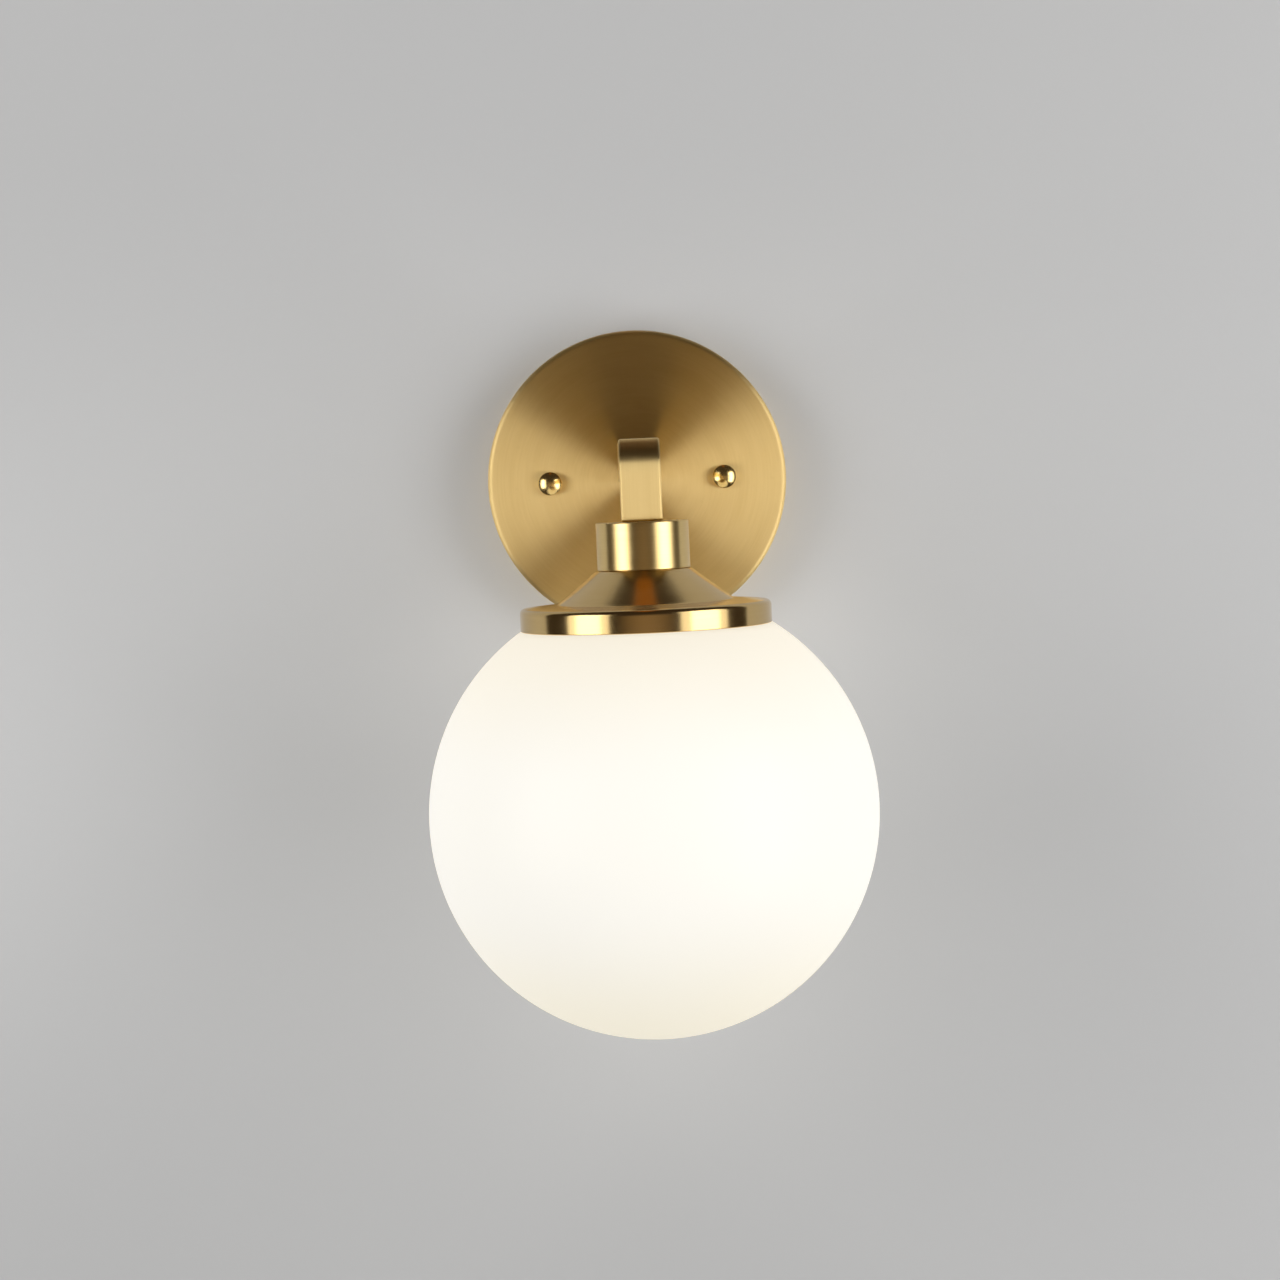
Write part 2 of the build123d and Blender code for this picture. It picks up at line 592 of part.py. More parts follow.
def lampholder_shell():
    """Sheet sleeve that takes the bulb's base, hung from its flange."""
    outer, inner = SHELL_DIAMETER / 2, SHELL_DIAMETER / 2 - SHELL_WALL
    hole = SHELL_FLANGE_HOLE / 2
    flange = SEPTUM_BOTTOM - SHELL_WALL
    foot = SEPTUM_BOTTOM - SHELL_HEIGHT
    outline = [(hole, SEPTUM_BOTTOM), (outer, SEPTUM_BOTTOM), (outer, foot)]
    outline += [(inner, foot), (inner, flange), (hole, flange)]
    return on_head(lathe(outline))


def centre_contact():
    """Disc contact on a stem through the porcelain floor."""
    disc, stem = CONTACT_DIAMETER / 2, CONTACT_STEM_DIAMETER / 2
    head = CAP_BOTTOM + SPIGOT_HEIGHT
    outline = [(0, CONTACT_BOTTOM), (disc, CONTACT_BOTTOM), (disc, SEPTUM_BOTTOM), (stem, SEPTUM_BOTTOM)]
    outline += [(stem, head), (disc, head), (disc, head + CONTACT_THICKNESS), (0, head + CONTACT_THICKNESS)]
    return on_head(lathe(outline))


def lampholder_terminals():
    """Two brass blocks on the porcelain floor, each with a hole for a lead."""
    foot = CAP_BOTTOM + SPIGOT_HEIGHT
    block = extrude(Rectangle(TERMINAL_WIDTH, TERMINAL_WIDTH), TERMINAL_HEIGHT)
    block -= Pos(0, 0, TERMINAL_FLOOR) * lead_hole(TERMINAL_HEIGHT - TERMINAL_FLOOR, Align.MIN)
    return [on_head(Pos(side * TERMINAL_X, 0, foot) * block) for side in (-1, 1)]


def lead(side):
    """Inner lead from the terminal block, along the arm and down into the lampholder."""
    pole = BLOCK_X + BLOCK_LENGTH / 2
    level = STRAP_FACE - POLE_LEVEL
    exit_z = LEG_AXIS - side * LEAD_SPREAD
    pole_z = -side * POLE_SPACING / 2
    spread = side * LEAD_SPREAD
    terminal = side * TERMINAL_X
    seat = CAP_BOTTOM + SPIGOT_HEIGHT + TERMINAL_FLOOR
    points = [
        (pole - LEAD_HOLE_DEPTH, level, pole_z),
        (pole + LEAD_TURN_GAP / 2, level, pole_z),
        (0, level, exit_z),
        (0, PLATE_FACE - ROOT_PLUG_LENGTH, exit_z),
        (spread, -ARM_REACH, LEG_AXIS),
        (spread, -ARM_REACH, HEAD_NIPPLE_END - LEAD_EXIT),
        (terminal, -ARM_REACH, seat + LEAD_TAIL),
        (terminal, -ARM_REACH, seat),
    ]
    path = FilletPolyline(*points, radius=corner_radii(points))
    section = Plane(origin=path @ 0, z_dir=path % 0) * Circle(LEAD_DIAMETER / 2)
    return sweep(section, path)


def corner_radii(points):
    """Largest arc that the two runs at each corner and the arm leave room for."""
    radii = []
    for before, here, after in zip(points, points[1:], points[2:]):
        one, two = Vector(here) - Vector(before), Vector(after) - Vector(here)
        half_turn = math.radians(one.get_angle(two)) / 2
        room = LEAD_ARC_SHARE * min(one.length, two.length) / math.tan(half_turn)
        radii.append(min(room, LEAD_BEND_RADIUS))
    return radii


def bulb_tip():
    """Domed contact at the end of the bulb's base."""
    radius = BULB_TIP_DIAMETER / 2
    shoulder = (radius / 2, BULB_TOP)
    return on_head(lathe([(0, INSULATOR_TOP), (radius, INSULATOR_TOP), shoulder, (0, BULB_TOP)]))


def bulb_insulator():
    """Ring of insulation between tip and base."""
    top, foot = BULB_TIP_DIAMETER / 2, BULB_INSULATOR_DIAMETER / 2
    return on_head(lathe([(0, BASE_TOP), (foot, BASE_TOP), (top, INSULATOR_TOP), (0, INSULATOR_TOP)]))


def bulb_base():
    """Sheet cap that screws into the lampholder."""
    outer, inner = BULB_BASE_DIAMETER / 2, BULB_BASE_DIAMETER / 2 - BULB_BASE_WALL
    top = BULB_INSULATOR_DIAMETER / 2
    slope = BASE_TOP - (outer - top)
    outline = [(top - BULB_BASE_WALL, BASE_TOP), (top, BASE_TOP), (outer, slope), (outer, BASE_BOTTOM)]
    outline += [(inner, BASE_BOTTOM), (inner, slope - BULB_BASE_WALL / 2)]
    return on_head(lathe(outline))


def housing_radius():
    """Radius of the bulb where the housing meets the diffuser."""
    return BULB_WAIST_DIAMETER / 2


def bulb_housing():
    """Flared plastic body between base and diffuser."""
    foot, waist = BULB_BASE_DIAMETER / 2 + BULB_WALL, housing_radius()
    board = HOUSING_BOTTOM + BULB_BOARD_THICKNESS
    floor = BASE_BOTTOM - BULB_WALL
    outline = [(foot, BASE_BOTTOM), (waist, HOUSING_BOTTOM), (waist - BULB_WALL, HOUSING_BOTTOM)]
    outline += [(waist - BULB_WALL, board), (waist - 2 * BULB_WALL, board)]
    outline += [(foot - BULB_WALL, floor), (0, floor), (0, BASE_BOTTOM)]
    return on_head(lathe(outline))


def bulb_led_board():
    """Round board with the light sources, let into the housing's lip."""
    radius = housing_radius() - BULB_WALL - FIT
    return on_head(lathe(ring(0, radius, HOUSING_BOTTOM, HOUSING_BOTTOM + BULB_BOARD_THICKNESS)))


def bulb_diffuser():
    """Milky dome that starts flush with the housing and bulges to the full width."""
    outer, waist = BULB_DIAMETER / 2, housing_radius()
    centre = BULB_BOTTOM + outer
    inner = outer - BULB_WALL
    rise = math.sqrt(outer ** 2 - waist ** 2)
    inner_waist = waist - BULB_WALL
    inner_rise = math.sqrt(inner ** 2 - inner_waist ** 2)
    outline = Line((inner_waist, 0, HOUSING_BOTTOM), (waist, 0, HOUSING_BOTTOM))
    outline += Line((waist, 0, HOUSING_BOTTOM), (waist, 0, centre + rise))
    outline += ThreePointArc((waist, 0, centre + rise), (outer, 0, centre), (0, 0, BULB_BOTTOM))
    outline += Line((0, 0, BULB_BOTTOM), (0, 0, BULB_BOTTOM + BULB_WALL))
    outline += ThreePointArc(
        (0, 0, BULB_BOTTOM + BULB_WALL), (inner, 0, centre), (inner_waist, 0, centre + inner_rise))
    outline += Line((inner_waist, 0, centre + inner_rise), (inner_waist, 0, HOUSING_BOTTOM))
    return on_head(revolve(make_face(outline), axis=Axis.Z))


NODES = {
    "wall_plate": wall_plate(),
    "crossbar": crossbar(),
    "mounting_studs": Compound(children=mounting_studs()),
    "stud_lock_nuts": Compound(children=stud_lock_nuts()),
    "left_dome_knob": dome_knob(-1),
    "right_dome_knob": dome_knob(1),
    "ground_screw": ground_screw(),
    "terminal_block": terminal_block(),
    "terminal_screws": Compound(children=terminal_screws()),
    "terminal_block_screw": terminal_block_screw(),
    "arm_tube": arm_tube(),
    "arm_root_plug": arm_root_plug(),
    "arm_root_nipple": arm_root_nipple(),
    "arm_root_washer": arm_root_washer(),
    "arm_root_nut": arm_root_nut(),
    "arm_end_plug": arm_end_plug(),
    "head_nipple": head_nipple(),
    "collar": collar(),
    "shade_holder": shade_holder(),
    "head_washer": head_washer(),
    "head_lock_nut": head_lock_nut(),
    "glass_thread_ring": glass_thread_ring(),
    "globe_gasket": globe_gasket(),
    "glass_globe": glass_globe(),
    "lampholder_cap": lampholder_cap(),
    "lampholder_body": lampholder_body(),
    "lampholder_shell": lampholder_shell(),
    "lampholder_terminals": Compound(children=lampholder_terminals()),
    "centre_contact": centre_contact(),
    "live_lead": lead(-1),
    "neutral_lead": lead(1),
    "bulb_tip": bulb_tip(),
    "bulb_insulator": bulb_insulator(),
    "bulb_base": bulb_base(),
    "bulb_housing": bulb_housing(),
    "bulb_led_board": bulb_led_board(),
    "bulb_diffuser": bulb_diffuser(),
}

os.makedirs("parts", exist_ok=True)
for name, shape in NODES.items():
    export_step(shape, f"parts/{name}.step")
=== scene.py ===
"""Dressed model of a brass wall sconce: spun plate, bent tube arm, turned collar, spun holder, opal globe.

Lengths are metres. The wall is the plane y = 0, +Z is up and the front faces -Y.
"""
from __future__ import annotations

import json
import logging
import math
from dataclasses import dataclass, field
from enum import Enum
from typing import Any

import bmesh
import bpy
import numpy as np
from mathutils import Matrix, Vector

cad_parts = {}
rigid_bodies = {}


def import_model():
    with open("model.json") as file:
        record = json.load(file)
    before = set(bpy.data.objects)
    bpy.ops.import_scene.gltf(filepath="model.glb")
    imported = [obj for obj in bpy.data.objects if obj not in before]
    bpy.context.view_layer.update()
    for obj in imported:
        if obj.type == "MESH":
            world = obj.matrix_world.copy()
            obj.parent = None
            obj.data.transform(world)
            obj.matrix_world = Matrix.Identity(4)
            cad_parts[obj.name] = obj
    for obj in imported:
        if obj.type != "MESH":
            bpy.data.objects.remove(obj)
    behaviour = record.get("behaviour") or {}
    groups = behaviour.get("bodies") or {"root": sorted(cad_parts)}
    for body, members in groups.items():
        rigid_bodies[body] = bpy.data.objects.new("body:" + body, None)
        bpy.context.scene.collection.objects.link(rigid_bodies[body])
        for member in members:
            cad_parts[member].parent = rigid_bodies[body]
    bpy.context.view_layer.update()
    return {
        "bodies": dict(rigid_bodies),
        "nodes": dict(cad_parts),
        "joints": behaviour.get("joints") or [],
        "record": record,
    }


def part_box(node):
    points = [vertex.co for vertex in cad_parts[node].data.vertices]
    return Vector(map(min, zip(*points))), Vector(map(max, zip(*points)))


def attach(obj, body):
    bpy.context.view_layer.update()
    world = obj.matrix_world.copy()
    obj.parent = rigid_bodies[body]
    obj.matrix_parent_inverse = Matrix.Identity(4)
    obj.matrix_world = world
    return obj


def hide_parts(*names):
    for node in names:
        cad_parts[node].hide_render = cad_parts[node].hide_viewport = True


LOG = logging.getLogger("wall_sconce")
MM = 0.001
MICRON = 0.000001
FULL_TURN = 2 * math.pi
BRUSH_MAP = "brush"
Colour = tuple[float, float, float, float]
Place = tuple[float, float, float]
Piece = bpy.types.Object
Socket = bpy.types.NodeSocket


class Axis(Enum):
    """Which way the axis of a turned piece points."""

    UP = "up"
    FORWARD = "forward"


class Surface(Enum):
    """Feel of a plain finish: grain marks per metre, depth of the grain in metres, spread of its roughness."""

    PLATED = (700.0, 6 * MICRON, 0.10)
    MACHINED = (2600.0, 4 * MICRON, 0.12)
    MOULDED = (1800.0, 12 * MICRON, 0.10)
    GLAZED = (160.0, 20 * MICRON, 0.05)
    RUBBER = (3200.0, 14 * MICRON, 0.08)


# Shapes


def unit(vectors: np.ndarray) -> np.ndarray:
    """Scale each vector, along the last axis, to length one and leave zero vectors as they are."""
    length = np.linalg.norm(vectors, axis=-1, keepdims=True)
    return np.divide(vectors, length, out=np.zeros_like(vectors), where=length > 1e-12)


def run_lengths(path: np.ndarray) -> np.ndarray:
    """Distance from the first point of a path to each of its points, added up along the path."""
    return np.concatenate([[0.0], np.cumsum(np.linalg.norm(np.diff(path, axis=0), axis=1))])


def looped(path: np.ndarray, closed: bool = True) -> np.ndarray:
    """Same path with its first point again at its end, if it is closed."""
    return np.vstack([path, path[:1]]) if closed else path


def shares(columns: int) -> np.ndarray:
    """Brush map values round a loop: column / columns, with one more for the closing column."""
    return np.arange(columns + 1) / columns


def rounded(points: Any, radii: list[float], closed: bool, steps: int = 9) -> np.ndarray:
    """Outline whose corners are replaced by arcs that touch both runs.

    With unit runs a into and b out of a corner and half the turn between them h, the arc's centre lies
    radius / cos(h) from the corner along b - a. A point of the arc at angle s, from -h to h, is the centre
    minus radius * cos(s) along b - a, plus radius * sin(s) along a + b.

    Args:
        points: corners as (radius, height).
        radii: arc radius at each corner, zero for a sharp one.
        closed: whether the last corner runs back to the first.
        steps: points on each arc.

    Returns:
        Array of (radius, height) rows.
    """
    corner = np.asarray(points, float)
    radius = np.asarray(radii, float)[:, None, None]
    before, after = np.roll(corner, 1, axis=0), np.roll(corner, -1, axis=0)
    if not closed:
        before[0] = 2 * corner[0] - after[0]
        after[-1] = 2 * corner[-1] - before[-1]
    into, out = unit(corner - before), unit(after - corner)
    half = (np.arccos(np.clip((into * out).sum(axis=1), -1, 1)) / 2)[:, None, None]
    inward, onward = unit(out - into)[:, None, :], unit(into + out)[:, None, :]
    sweep = np.linspace(-1, 1, steps)[None, :, None] * half
    centre = corner[:, None, :] + inward * radius / np.cos(half)
    arcs = centre + radius * (onward * np.sin(sweep) - inward * np.cos(sweep))
    return arcs.reshape(-1, 2)


def arc(centre: float, radius: float, start: float, stop: float, steps: int) -> np.ndarray:
    """Arc about a point on the axis: (radius * cos t, centre + radius * sin t) for t from start to stop."""
    turn = np.linspace(start, stop, steps)
    return np.stack([radius * np.cos(turn), centre + radius * np.sin(turn)], axis=1)


def refined(outline: np.ndarray, step: float, closed: bool) -> np.ndarray:
    """Same outline with points added so that no run is longer than a step.

    Args:
        outline: rows of (radius, height).
        step: longest run.
        closed: whether the last row runs back to the first.

    Returns:
        Array of rows, without repeated points.
    """
    path = looped(outline, closed)
    run = run_lengths(path)
    marks = np.union1d(np.round(run, 9), np.arange(0, run[-1], step))
    marks = marks[np.concatenate([[True], np.diff(marks) > 1e-6])]
    fine = np.stack([np.interp(marks, run, path[:, 0]), np.interp(marks, run, path[:, 1])], axis=1)
    return fine[:-1] if closed else fine


def grid_piece(name: str, points: np.ndarray, row_map: np.ndarray, column_map: np.ndarray,
               rows_close: bool, brush_along_rows: bool, sharp: float = 40.0) -> Piece:
    """Make an object from a grid of points whose columns always close into a loop.

    Each quad joins (row, column), (row, column + 1), (row + 1, column + 1) and (row + 1, column). Points
    that coincide, at a pole or an end, are merged, and the normals are then turned outwards.

    Args:
        name: piece name.
        points: array of rows, columns and 3 coordinates.
        row_map: brush map value at each row, and one more where the rows close.
        column_map: brush map value at each column and one more for the closing column.
        rows_close: whether the last row joins the first.
        brush_along_rows: whether the brush marks run from row to row or round each row.
        sharp: edges that turn by more degrees than this stay crisp.

    Returns:
        The new object.
    """
    rows, columns = points.shape[:2]
    row, column = np.meshgrid(np.arange(rows if rows_close else rows - 1), np.arange(columns), indexing="ij")
    after, beside = (row + 1) % rows, (column + 1) % columns
    quads = np.stack([row * columns + column, row * columns + beside,
                      after * columns + beside, after * columns + column], axis=-1).reshape(-1, 4)
    down = np.stack([row_map[row], row_map[row], row_map[row + 1], row_map[row + 1]], axis=-1)
    around = np.stack([column_map[column], column_map[column + 1],
                       column_map[column + 1], column_map[column]], axis=-1)
    marks = np.stack([down, around] if brush_along_rows else [around, down], axis=-1)

    mesh = bpy.data.meshes.new(name)
    mesh.from_pydata(points.reshape(-1, 3), [], quads)
    mesh.uv_layers.new(name=BRUSH_MAP).data.foreach_set("uv", marks.astype(np.float32).ravel())
    work = bmesh.new()
    work.from_mesh(mesh)
    bmesh.ops.remove_doubles(work, verts=work.verts, dist=2e-7)
    bmesh.ops.recalc_face_normals(work, faces=work.faces)
    work.to_mesh(mesh)
    work.free()
    mesh.shade_smooth()
    mesh.set_sharp_from_angle(angle=math.radians(sharp))
    piece = bpy.data.objects.new(name, mesh)
    bpy.context.scene.collection.objects.link(piece)
    return piece


def turned_piece(name: str, outline: np.ndarray, centre: tuple[float, float], axis: Axis, closed: bool,
                 columns: int = 160, groove: np.ndarray | float = 0.0) -> Piece:
    """Turn an outline about an axis: radius * cos and radius * sin of the angle across it, height along it.

    Args:
        name: piece name.
        outline: rows of (radius, height); the height of a forward axis counts out of the wall.
        centre: where the axis stands, as (x, y) for an upright one and (x, z) for a forward one.
        axis: which way the axis points.
        closed: whether the outline is a loop; an open one starts and ends on the axis.
        columns: points round the piece.
        groove: how far each row and column lies nearer to the axis than the outline, if it isn't plain.

    Returns:
        The new object, with its seam at the back or at the bottom.
    """
    seam = math.pi / 2 if axis is Axis.UP else -math.pi / 2
    angle = seam + FULL_TURN * np.arange(columns) / columns
    radius = outline[:, :1] - groove
    first = centre[0] + radius * np.cos(angle)
    second = centre[1] + radius * np.sin(angle)
    height = np.broadcast_to(outline[:, 1:], first.shape)
    order = (first, second, height) if axis is Axis.UP else (first, -height, second)
    return grid_piece(name, np.stack(order, axis=-1), run_lengths(looped(outline, closed)), shares(columns),
                      closed, False)


def threaded_rod(name: str, radius: float, bore: float, pitch: float, ends: tuple[float, float],
                 centre: tuple[float, float]) -> Piece:
    """Threaded rod or tube along the forward axis.

    The radius at an angle and a height is the full radius less depth * (1 - wave). The wave is a triangle
    wave of height / pitch minus the turn, a right-hand thread, and runs out to the root at both ends.

    Args:
        name: piece name.
        radius: outside of the thread.
        bore: radius of the hole, or zero for a solid rod.
        pitch: rise of one turn.
        ends: heights of the rear and the front end out of the wall.
        centre: axis as (x, z).

    Returns:
        The new object.
    """
    columns, depth, step = 36, 0.3 * pitch, pitch / 8
    start, stop = ends
    height = np.arange(start, stop + step / 2, step).clip(start, stop)[:, None]
    angle = (FULL_TURN * np.arange(columns) / columns)[None, :]
    phase = (height - start) / pitch - angle / FULL_TURN
    wave = 1 - np.abs(2 * (phase - np.floor(phase)) - 1)
    lead_in = np.minimum(height - start, stop - height).clip(0, pitch) / pitch
    end_ring = np.full((1, columns), bore)
    spread = np.vstack([end_ring, radius - depth * (1 - wave * lead_in), end_ring])
    level = np.vstack([height[:1], height, height[-1:]]) * np.ones_like(angle)
    points = np.stack([centre[0] + spread * np.cos(angle), -level, centre[1] + spread * np.sin(angle)], axis=-1)
    rows = np.linspace(0, stop - start, len(points) + 1)
    return grid_piece(name, points, rows, shares(columns), bore > 0, False, 50.0)


# Shader effects and finishes


class NodeDesk:
    """Short way to add and join the nodes of one tree."""

    def __init__(self, tree: bpy.types.NodeTree) -> None:
        """Keep the tree that the nodes go into."""
        self.tree = tree

    def feed(self, node: bpy.types.Node, values: dict[str | int, Any]) -> None:
        """Fill inputs of a node.

        Args:
            node: the node.
            values: plain numbers or colours, or output sockets to join, by input name or place.
        """
        for key, value in values.items():
            if isinstance(value, Socket):
                self.tree.links.new(value, node.inputs[key])
            else:
                node.inputs[key].default_value = value

    def add(self, kind: str, values: dict[str | int, Any] | None = None, **settings: Any) -> bpy.types.Node:
        """Add one node.

        Args:
            kind: node type, without the leading "ShaderNode".
            values: what its inputs get.
            settings: properties of the node itself.

        Returns:
            The node.
        """
        node = self.tree.nodes.new(f"ShaderNode{kind}")
        for key, value in settings.items():
            setattr(node, key, value)
        self.feed(node, values or {})
        return node

    def math(self, operation: str, first: Any, second: Any = 0.0) -> Socket:
        """Add one sum of two values and give its result."""
        return self.add("Math", {0: first, 1: second}, operation=operation).outputs[0]

    def swing(self, value: Any, reach: float) -> Socket:
        """Turn a share round one half into a value round zero: (value - 0.5) * reach."""
        return self.math("MULTIPLY", self.math("SUBTRACT", value, 0.5), reach)

    def between(self, share: Any, low: Any, high: Any) -> Socket:
        """Blend two colours by a share and give the colour."""
        return self.add("Mix", {0: share, 6: low, 7: high}, data_type="RGBA").outputs[2]

    def ramp(self, value: Any, start: float, stop: float, low: float = 0.0, high: float = 1.0,
             smooth: bool = False) -> Socket:
        """Carry a value over from one range to another.

        Args:
            value: what is carried over.
            start: value that gives the low end.
            stop: value that gives the high end.
            low: result at the start and before it.
            high: result at the stop and past it.
            smooth: whether the way between has soft ends.

        Returns:
            The result.
        """
        ends = {"Value": value, "From Min": start, "From Max": stop, "To Min": low, "To Max": high}
        return self.add("MapRange", ends, interpolation_type="SMOOTHSTEP" if smooth else "LINEAR").outputs["Result"]

    def noise(self, place: Socket, scale: Any, detail: float, roughness: float = 0.5) -> Socket:
        """Add one noise and give its value."""
        values = {"Vector": place, "Scale": scale, "Detail": detail, "Roughness": roughness}
        return self.add("TexNoise", values).outputs[0]

    def length(self, vector: Socket) -> Socket:
        """Give the length of a vector."""
        return self.add("VectorMath", {0: vector}, operation="LENGTH").outputs["Value"]

    def here(self) -> Socket:
        """Give the place on the piece, in Object coordinates."""
        return self.add("TexCoord").outputs["Object"]

    def seen(self) -> Socket:
        """Give one for what the eye, gloss and glass see, and zero for what only lights."""
        path = self.add("LightPath").outputs
        return self.math("MAXIMUM", self.math("MAXIMUM", path["Is Camera Ray"], path["Is Glossy Ray"]),
                         path["Is Transmission Ray"])

    def about(self, place: Socket, middle: Place, half: Place) -> Socket:
        """Measure a place from a middle in units of half a width along each axis."""
        values = {"Vector": place, "Location": tuple(-c / h for c, h in zip(middle, half)),
                  "Scale": tuple(1 / h for h in half)}
        return self.add("Mapping", values).outputs[0]


class Effects:
    """Node groups that several finishes share."""

    def __init__(self) -> None:
        """Build each group once."""
        self.brush = self._brush_marks()
        self.haze = self._handling_haze()
        self.grain = self._fine_grain()

    @staticmethod
    def _open(name: str, *inputs: str) -> tuple[NodeDesk, Any]:
        """Start a group whose first input is a vector and whose other inputs are numbers.

        Args:
            name: group name.
            inputs: names of the inputs.

        Returns:
            The desk for its tree and the sockets that its inputs come in by.
        """
        tree = bpy.data.node_groups.new(name, "ShaderNodeTree")
        for turn, label in enumerate(inputs):
            kind = "NodeSocketFloat" if turn else "NodeSocketVector"
            tree.interface.new_socket(label, in_out="INPUT", socket_type=kind)
        return NodeDesk(tree), tree.nodes.new("NodeGroupInput").outputs

    @staticmethod
    def _close(desk: NodeDesk, results: dict[str, Socket]) -> bpy.types.NodeTree:
        """Finish a group.

        Args:
            desk: the desk for its tree.
            results: values that it puts out, by name.

        Returns:
            The group.
        """
        for label in results:
            desk.tree.interface.new_socket(label, in_out="OUTPUT", socket_type="NodeSocketFloat")
        desk.feed(desk.tree.nodes.new("NodeGroupOutput"), results)
        return desk.tree

    def _brush_marks(self) -> bpy.types.NodeTree:
        """Long fine marks along the brush map: noise on a circle for the way along and a line for the way across.

        Returns:
            The group.
        """
        desk, given = self._open("brush_marks", "Map", "Along", "Across")
        parts = desk.add("SeparateXYZ", {0: given["Map"]}).outputs
        turn = desk.math("MULTIPLY", parts["X"], FULL_TURN)
        ahead, aside = [desk.math("MULTIPLY", desk.math(way, turn), given["Along"]) for way in ("COSINE", "SINE")]
        across = desk.math("MULTIPLY", parts["Y"], given["Across"])
        fine, wide = [desk.add("CombineXYZ", {0: ahead, 1: aside, 2: step}).outputs[0]
                      for step in (across, desk.math("MULTIPLY", across, 0.14))]
        return self._close(desk, {"Mark": desk.noise(fine, 1.0, 1.5, 0.6), "Band": desk.noise(wide, 0.8, 2.0)})

    def _handling_haze(self) -> bpy.types.NodeTree:
        """Broad soft clouds, as left by handling and polish, with a few finer specks inside them.

        Returns:
            The group.
        """
        desk, given = self._open("handling_haze", "Place", "Scale")
        near = desk.math("MULTIPLY", given["Scale"], 14.0)
        speck = desk.noise(given["Place"], near, 2.0)
        return self._close(desk, {"Haze": desk.noise(given["Place"], given["Scale"], 4.0, 0.55),
                                  "Specks": desk.ramp(speck, 0.66, 0.80)})

    def _fine_grain(self) -> bpy.types.NodeTree:
        """Even grain of a moulded, plated or glazed surface: one noise at a given number of marks per metre."""
        desk, given = self._open("fine_grain", "Place", "Scale")
        return self._close(desk, {"Grain": desk.noise(given["Place"], given["Scale"], 3.0, 0.6)})


@dataclass(frozen=True)
class Finish:
    """Common part of every finish: a material with one Principled shader."""

    name: str

    def material(self, effects: Effects) -> bpy.types.Material:
        """Build the material.

        Args:
            effects: the shared node groups.

        Returns:
            The material.
        """
        material = bpy.data.materials.new(self.name)
        material.use_nodes = True
        self.lay(NodeDesk(material.node_tree), material.node_tree.nodes["Principled BSDF"], effects)
        return material

    def lay(self, desk: NodeDesk, shader: bpy.types.Node, effects: Effects) -> None:
        """Lay the nodes of the finish; each kind of finish has its own."""
        raise NotImplementedError

    @staticmethod
    def bump(desk: NodeDesk, height: Socket, depth: float) -> Socket:
        """Give the normal of a relief of a depth in metres."""
        return desk.add("Bump", {"Height": height, "Strength": 1.0, "Distance": depth}).outputs[0]


@dataclass(frozen=True)
class BrushedBrass(Finish):
    """Lacquered satin brass with fine marks along the brush map and a highlight that spreads across them."""

    light: Colour = (0.825, 0.615, 0.272, 1)
    dark: Colour = (0.785, 0.575, 0.246, 1)
    tarnish: Colour = (0.42, 0.27, 0.10, 1)
    tarnish_share: float = 0.05
    roughness: float = 0.36
    anisotropy: float = 0.7
    along: float = 2.0
    across: float = 1500.0
    mark_depth: float = 12 * MICRON
    mark_share: float = 0.45
    cloud_scale: float = 26.0
    cloud_drift: float = 0.04
    band_drift: float = 0.06

    def lay(self, desk: NodeDesk, shader: bpy.types.Node, effects: Effects) -> None:
        """Lay two tones by mark and band, faint tarnish specks, and a roughness that drifts with both.

        Args:
            desk: the desk for the material's tree.
            shader: its shader.
            effects: the shared node groups.
        """
        brush_map = desk.add("UVMap", uv_map=BRUSH_MAP).outputs[0]
        marks = desk.add("Group", {"Map": brush_map, "Along": self.along, "Across": self.across},
                         node_tree=effects.brush).outputs
        haze = desk.add("Group", {"Place": desk.here(), "Scale": self.cloud_scale}, node_tree=effects.haze).outputs
        tone = desk.math("ADD", desk.math("MULTIPLY", marks["Mark"], self.mark_share),
                         desk.math("MULTIPLY", marks["Band"], 1 - self.mark_share))
        colour = desk.between(desk.ramp(tone, 0.36, 0.64), self.dark, self.light)
        specks = desk.math("MULTIPLY", haze["Specks"], self.tarnish_share)
        drift = desk.math("ADD", desk.swing(haze["Haze"], self.cloud_drift),
                          desk.swing(marks["Band"], self.band_drift))
        desk.feed(shader, {
            "Base Color": desk.between(specks, colour, self.tarnish),
            "Roughness": desk.math("ADD", drift, self.roughness),
            "Normal": self.bump(desk, marks["Mark"], self.mark_depth),
            "Tangent": desk.add("Tangent", direction_type="UV_MAP", uv_map=BRUSH_MAP).outputs[0],
            "Metallic": 1.0, "Anisotropic": self.anisotropy, "Anisotropic Rotation": 0.25,
        })


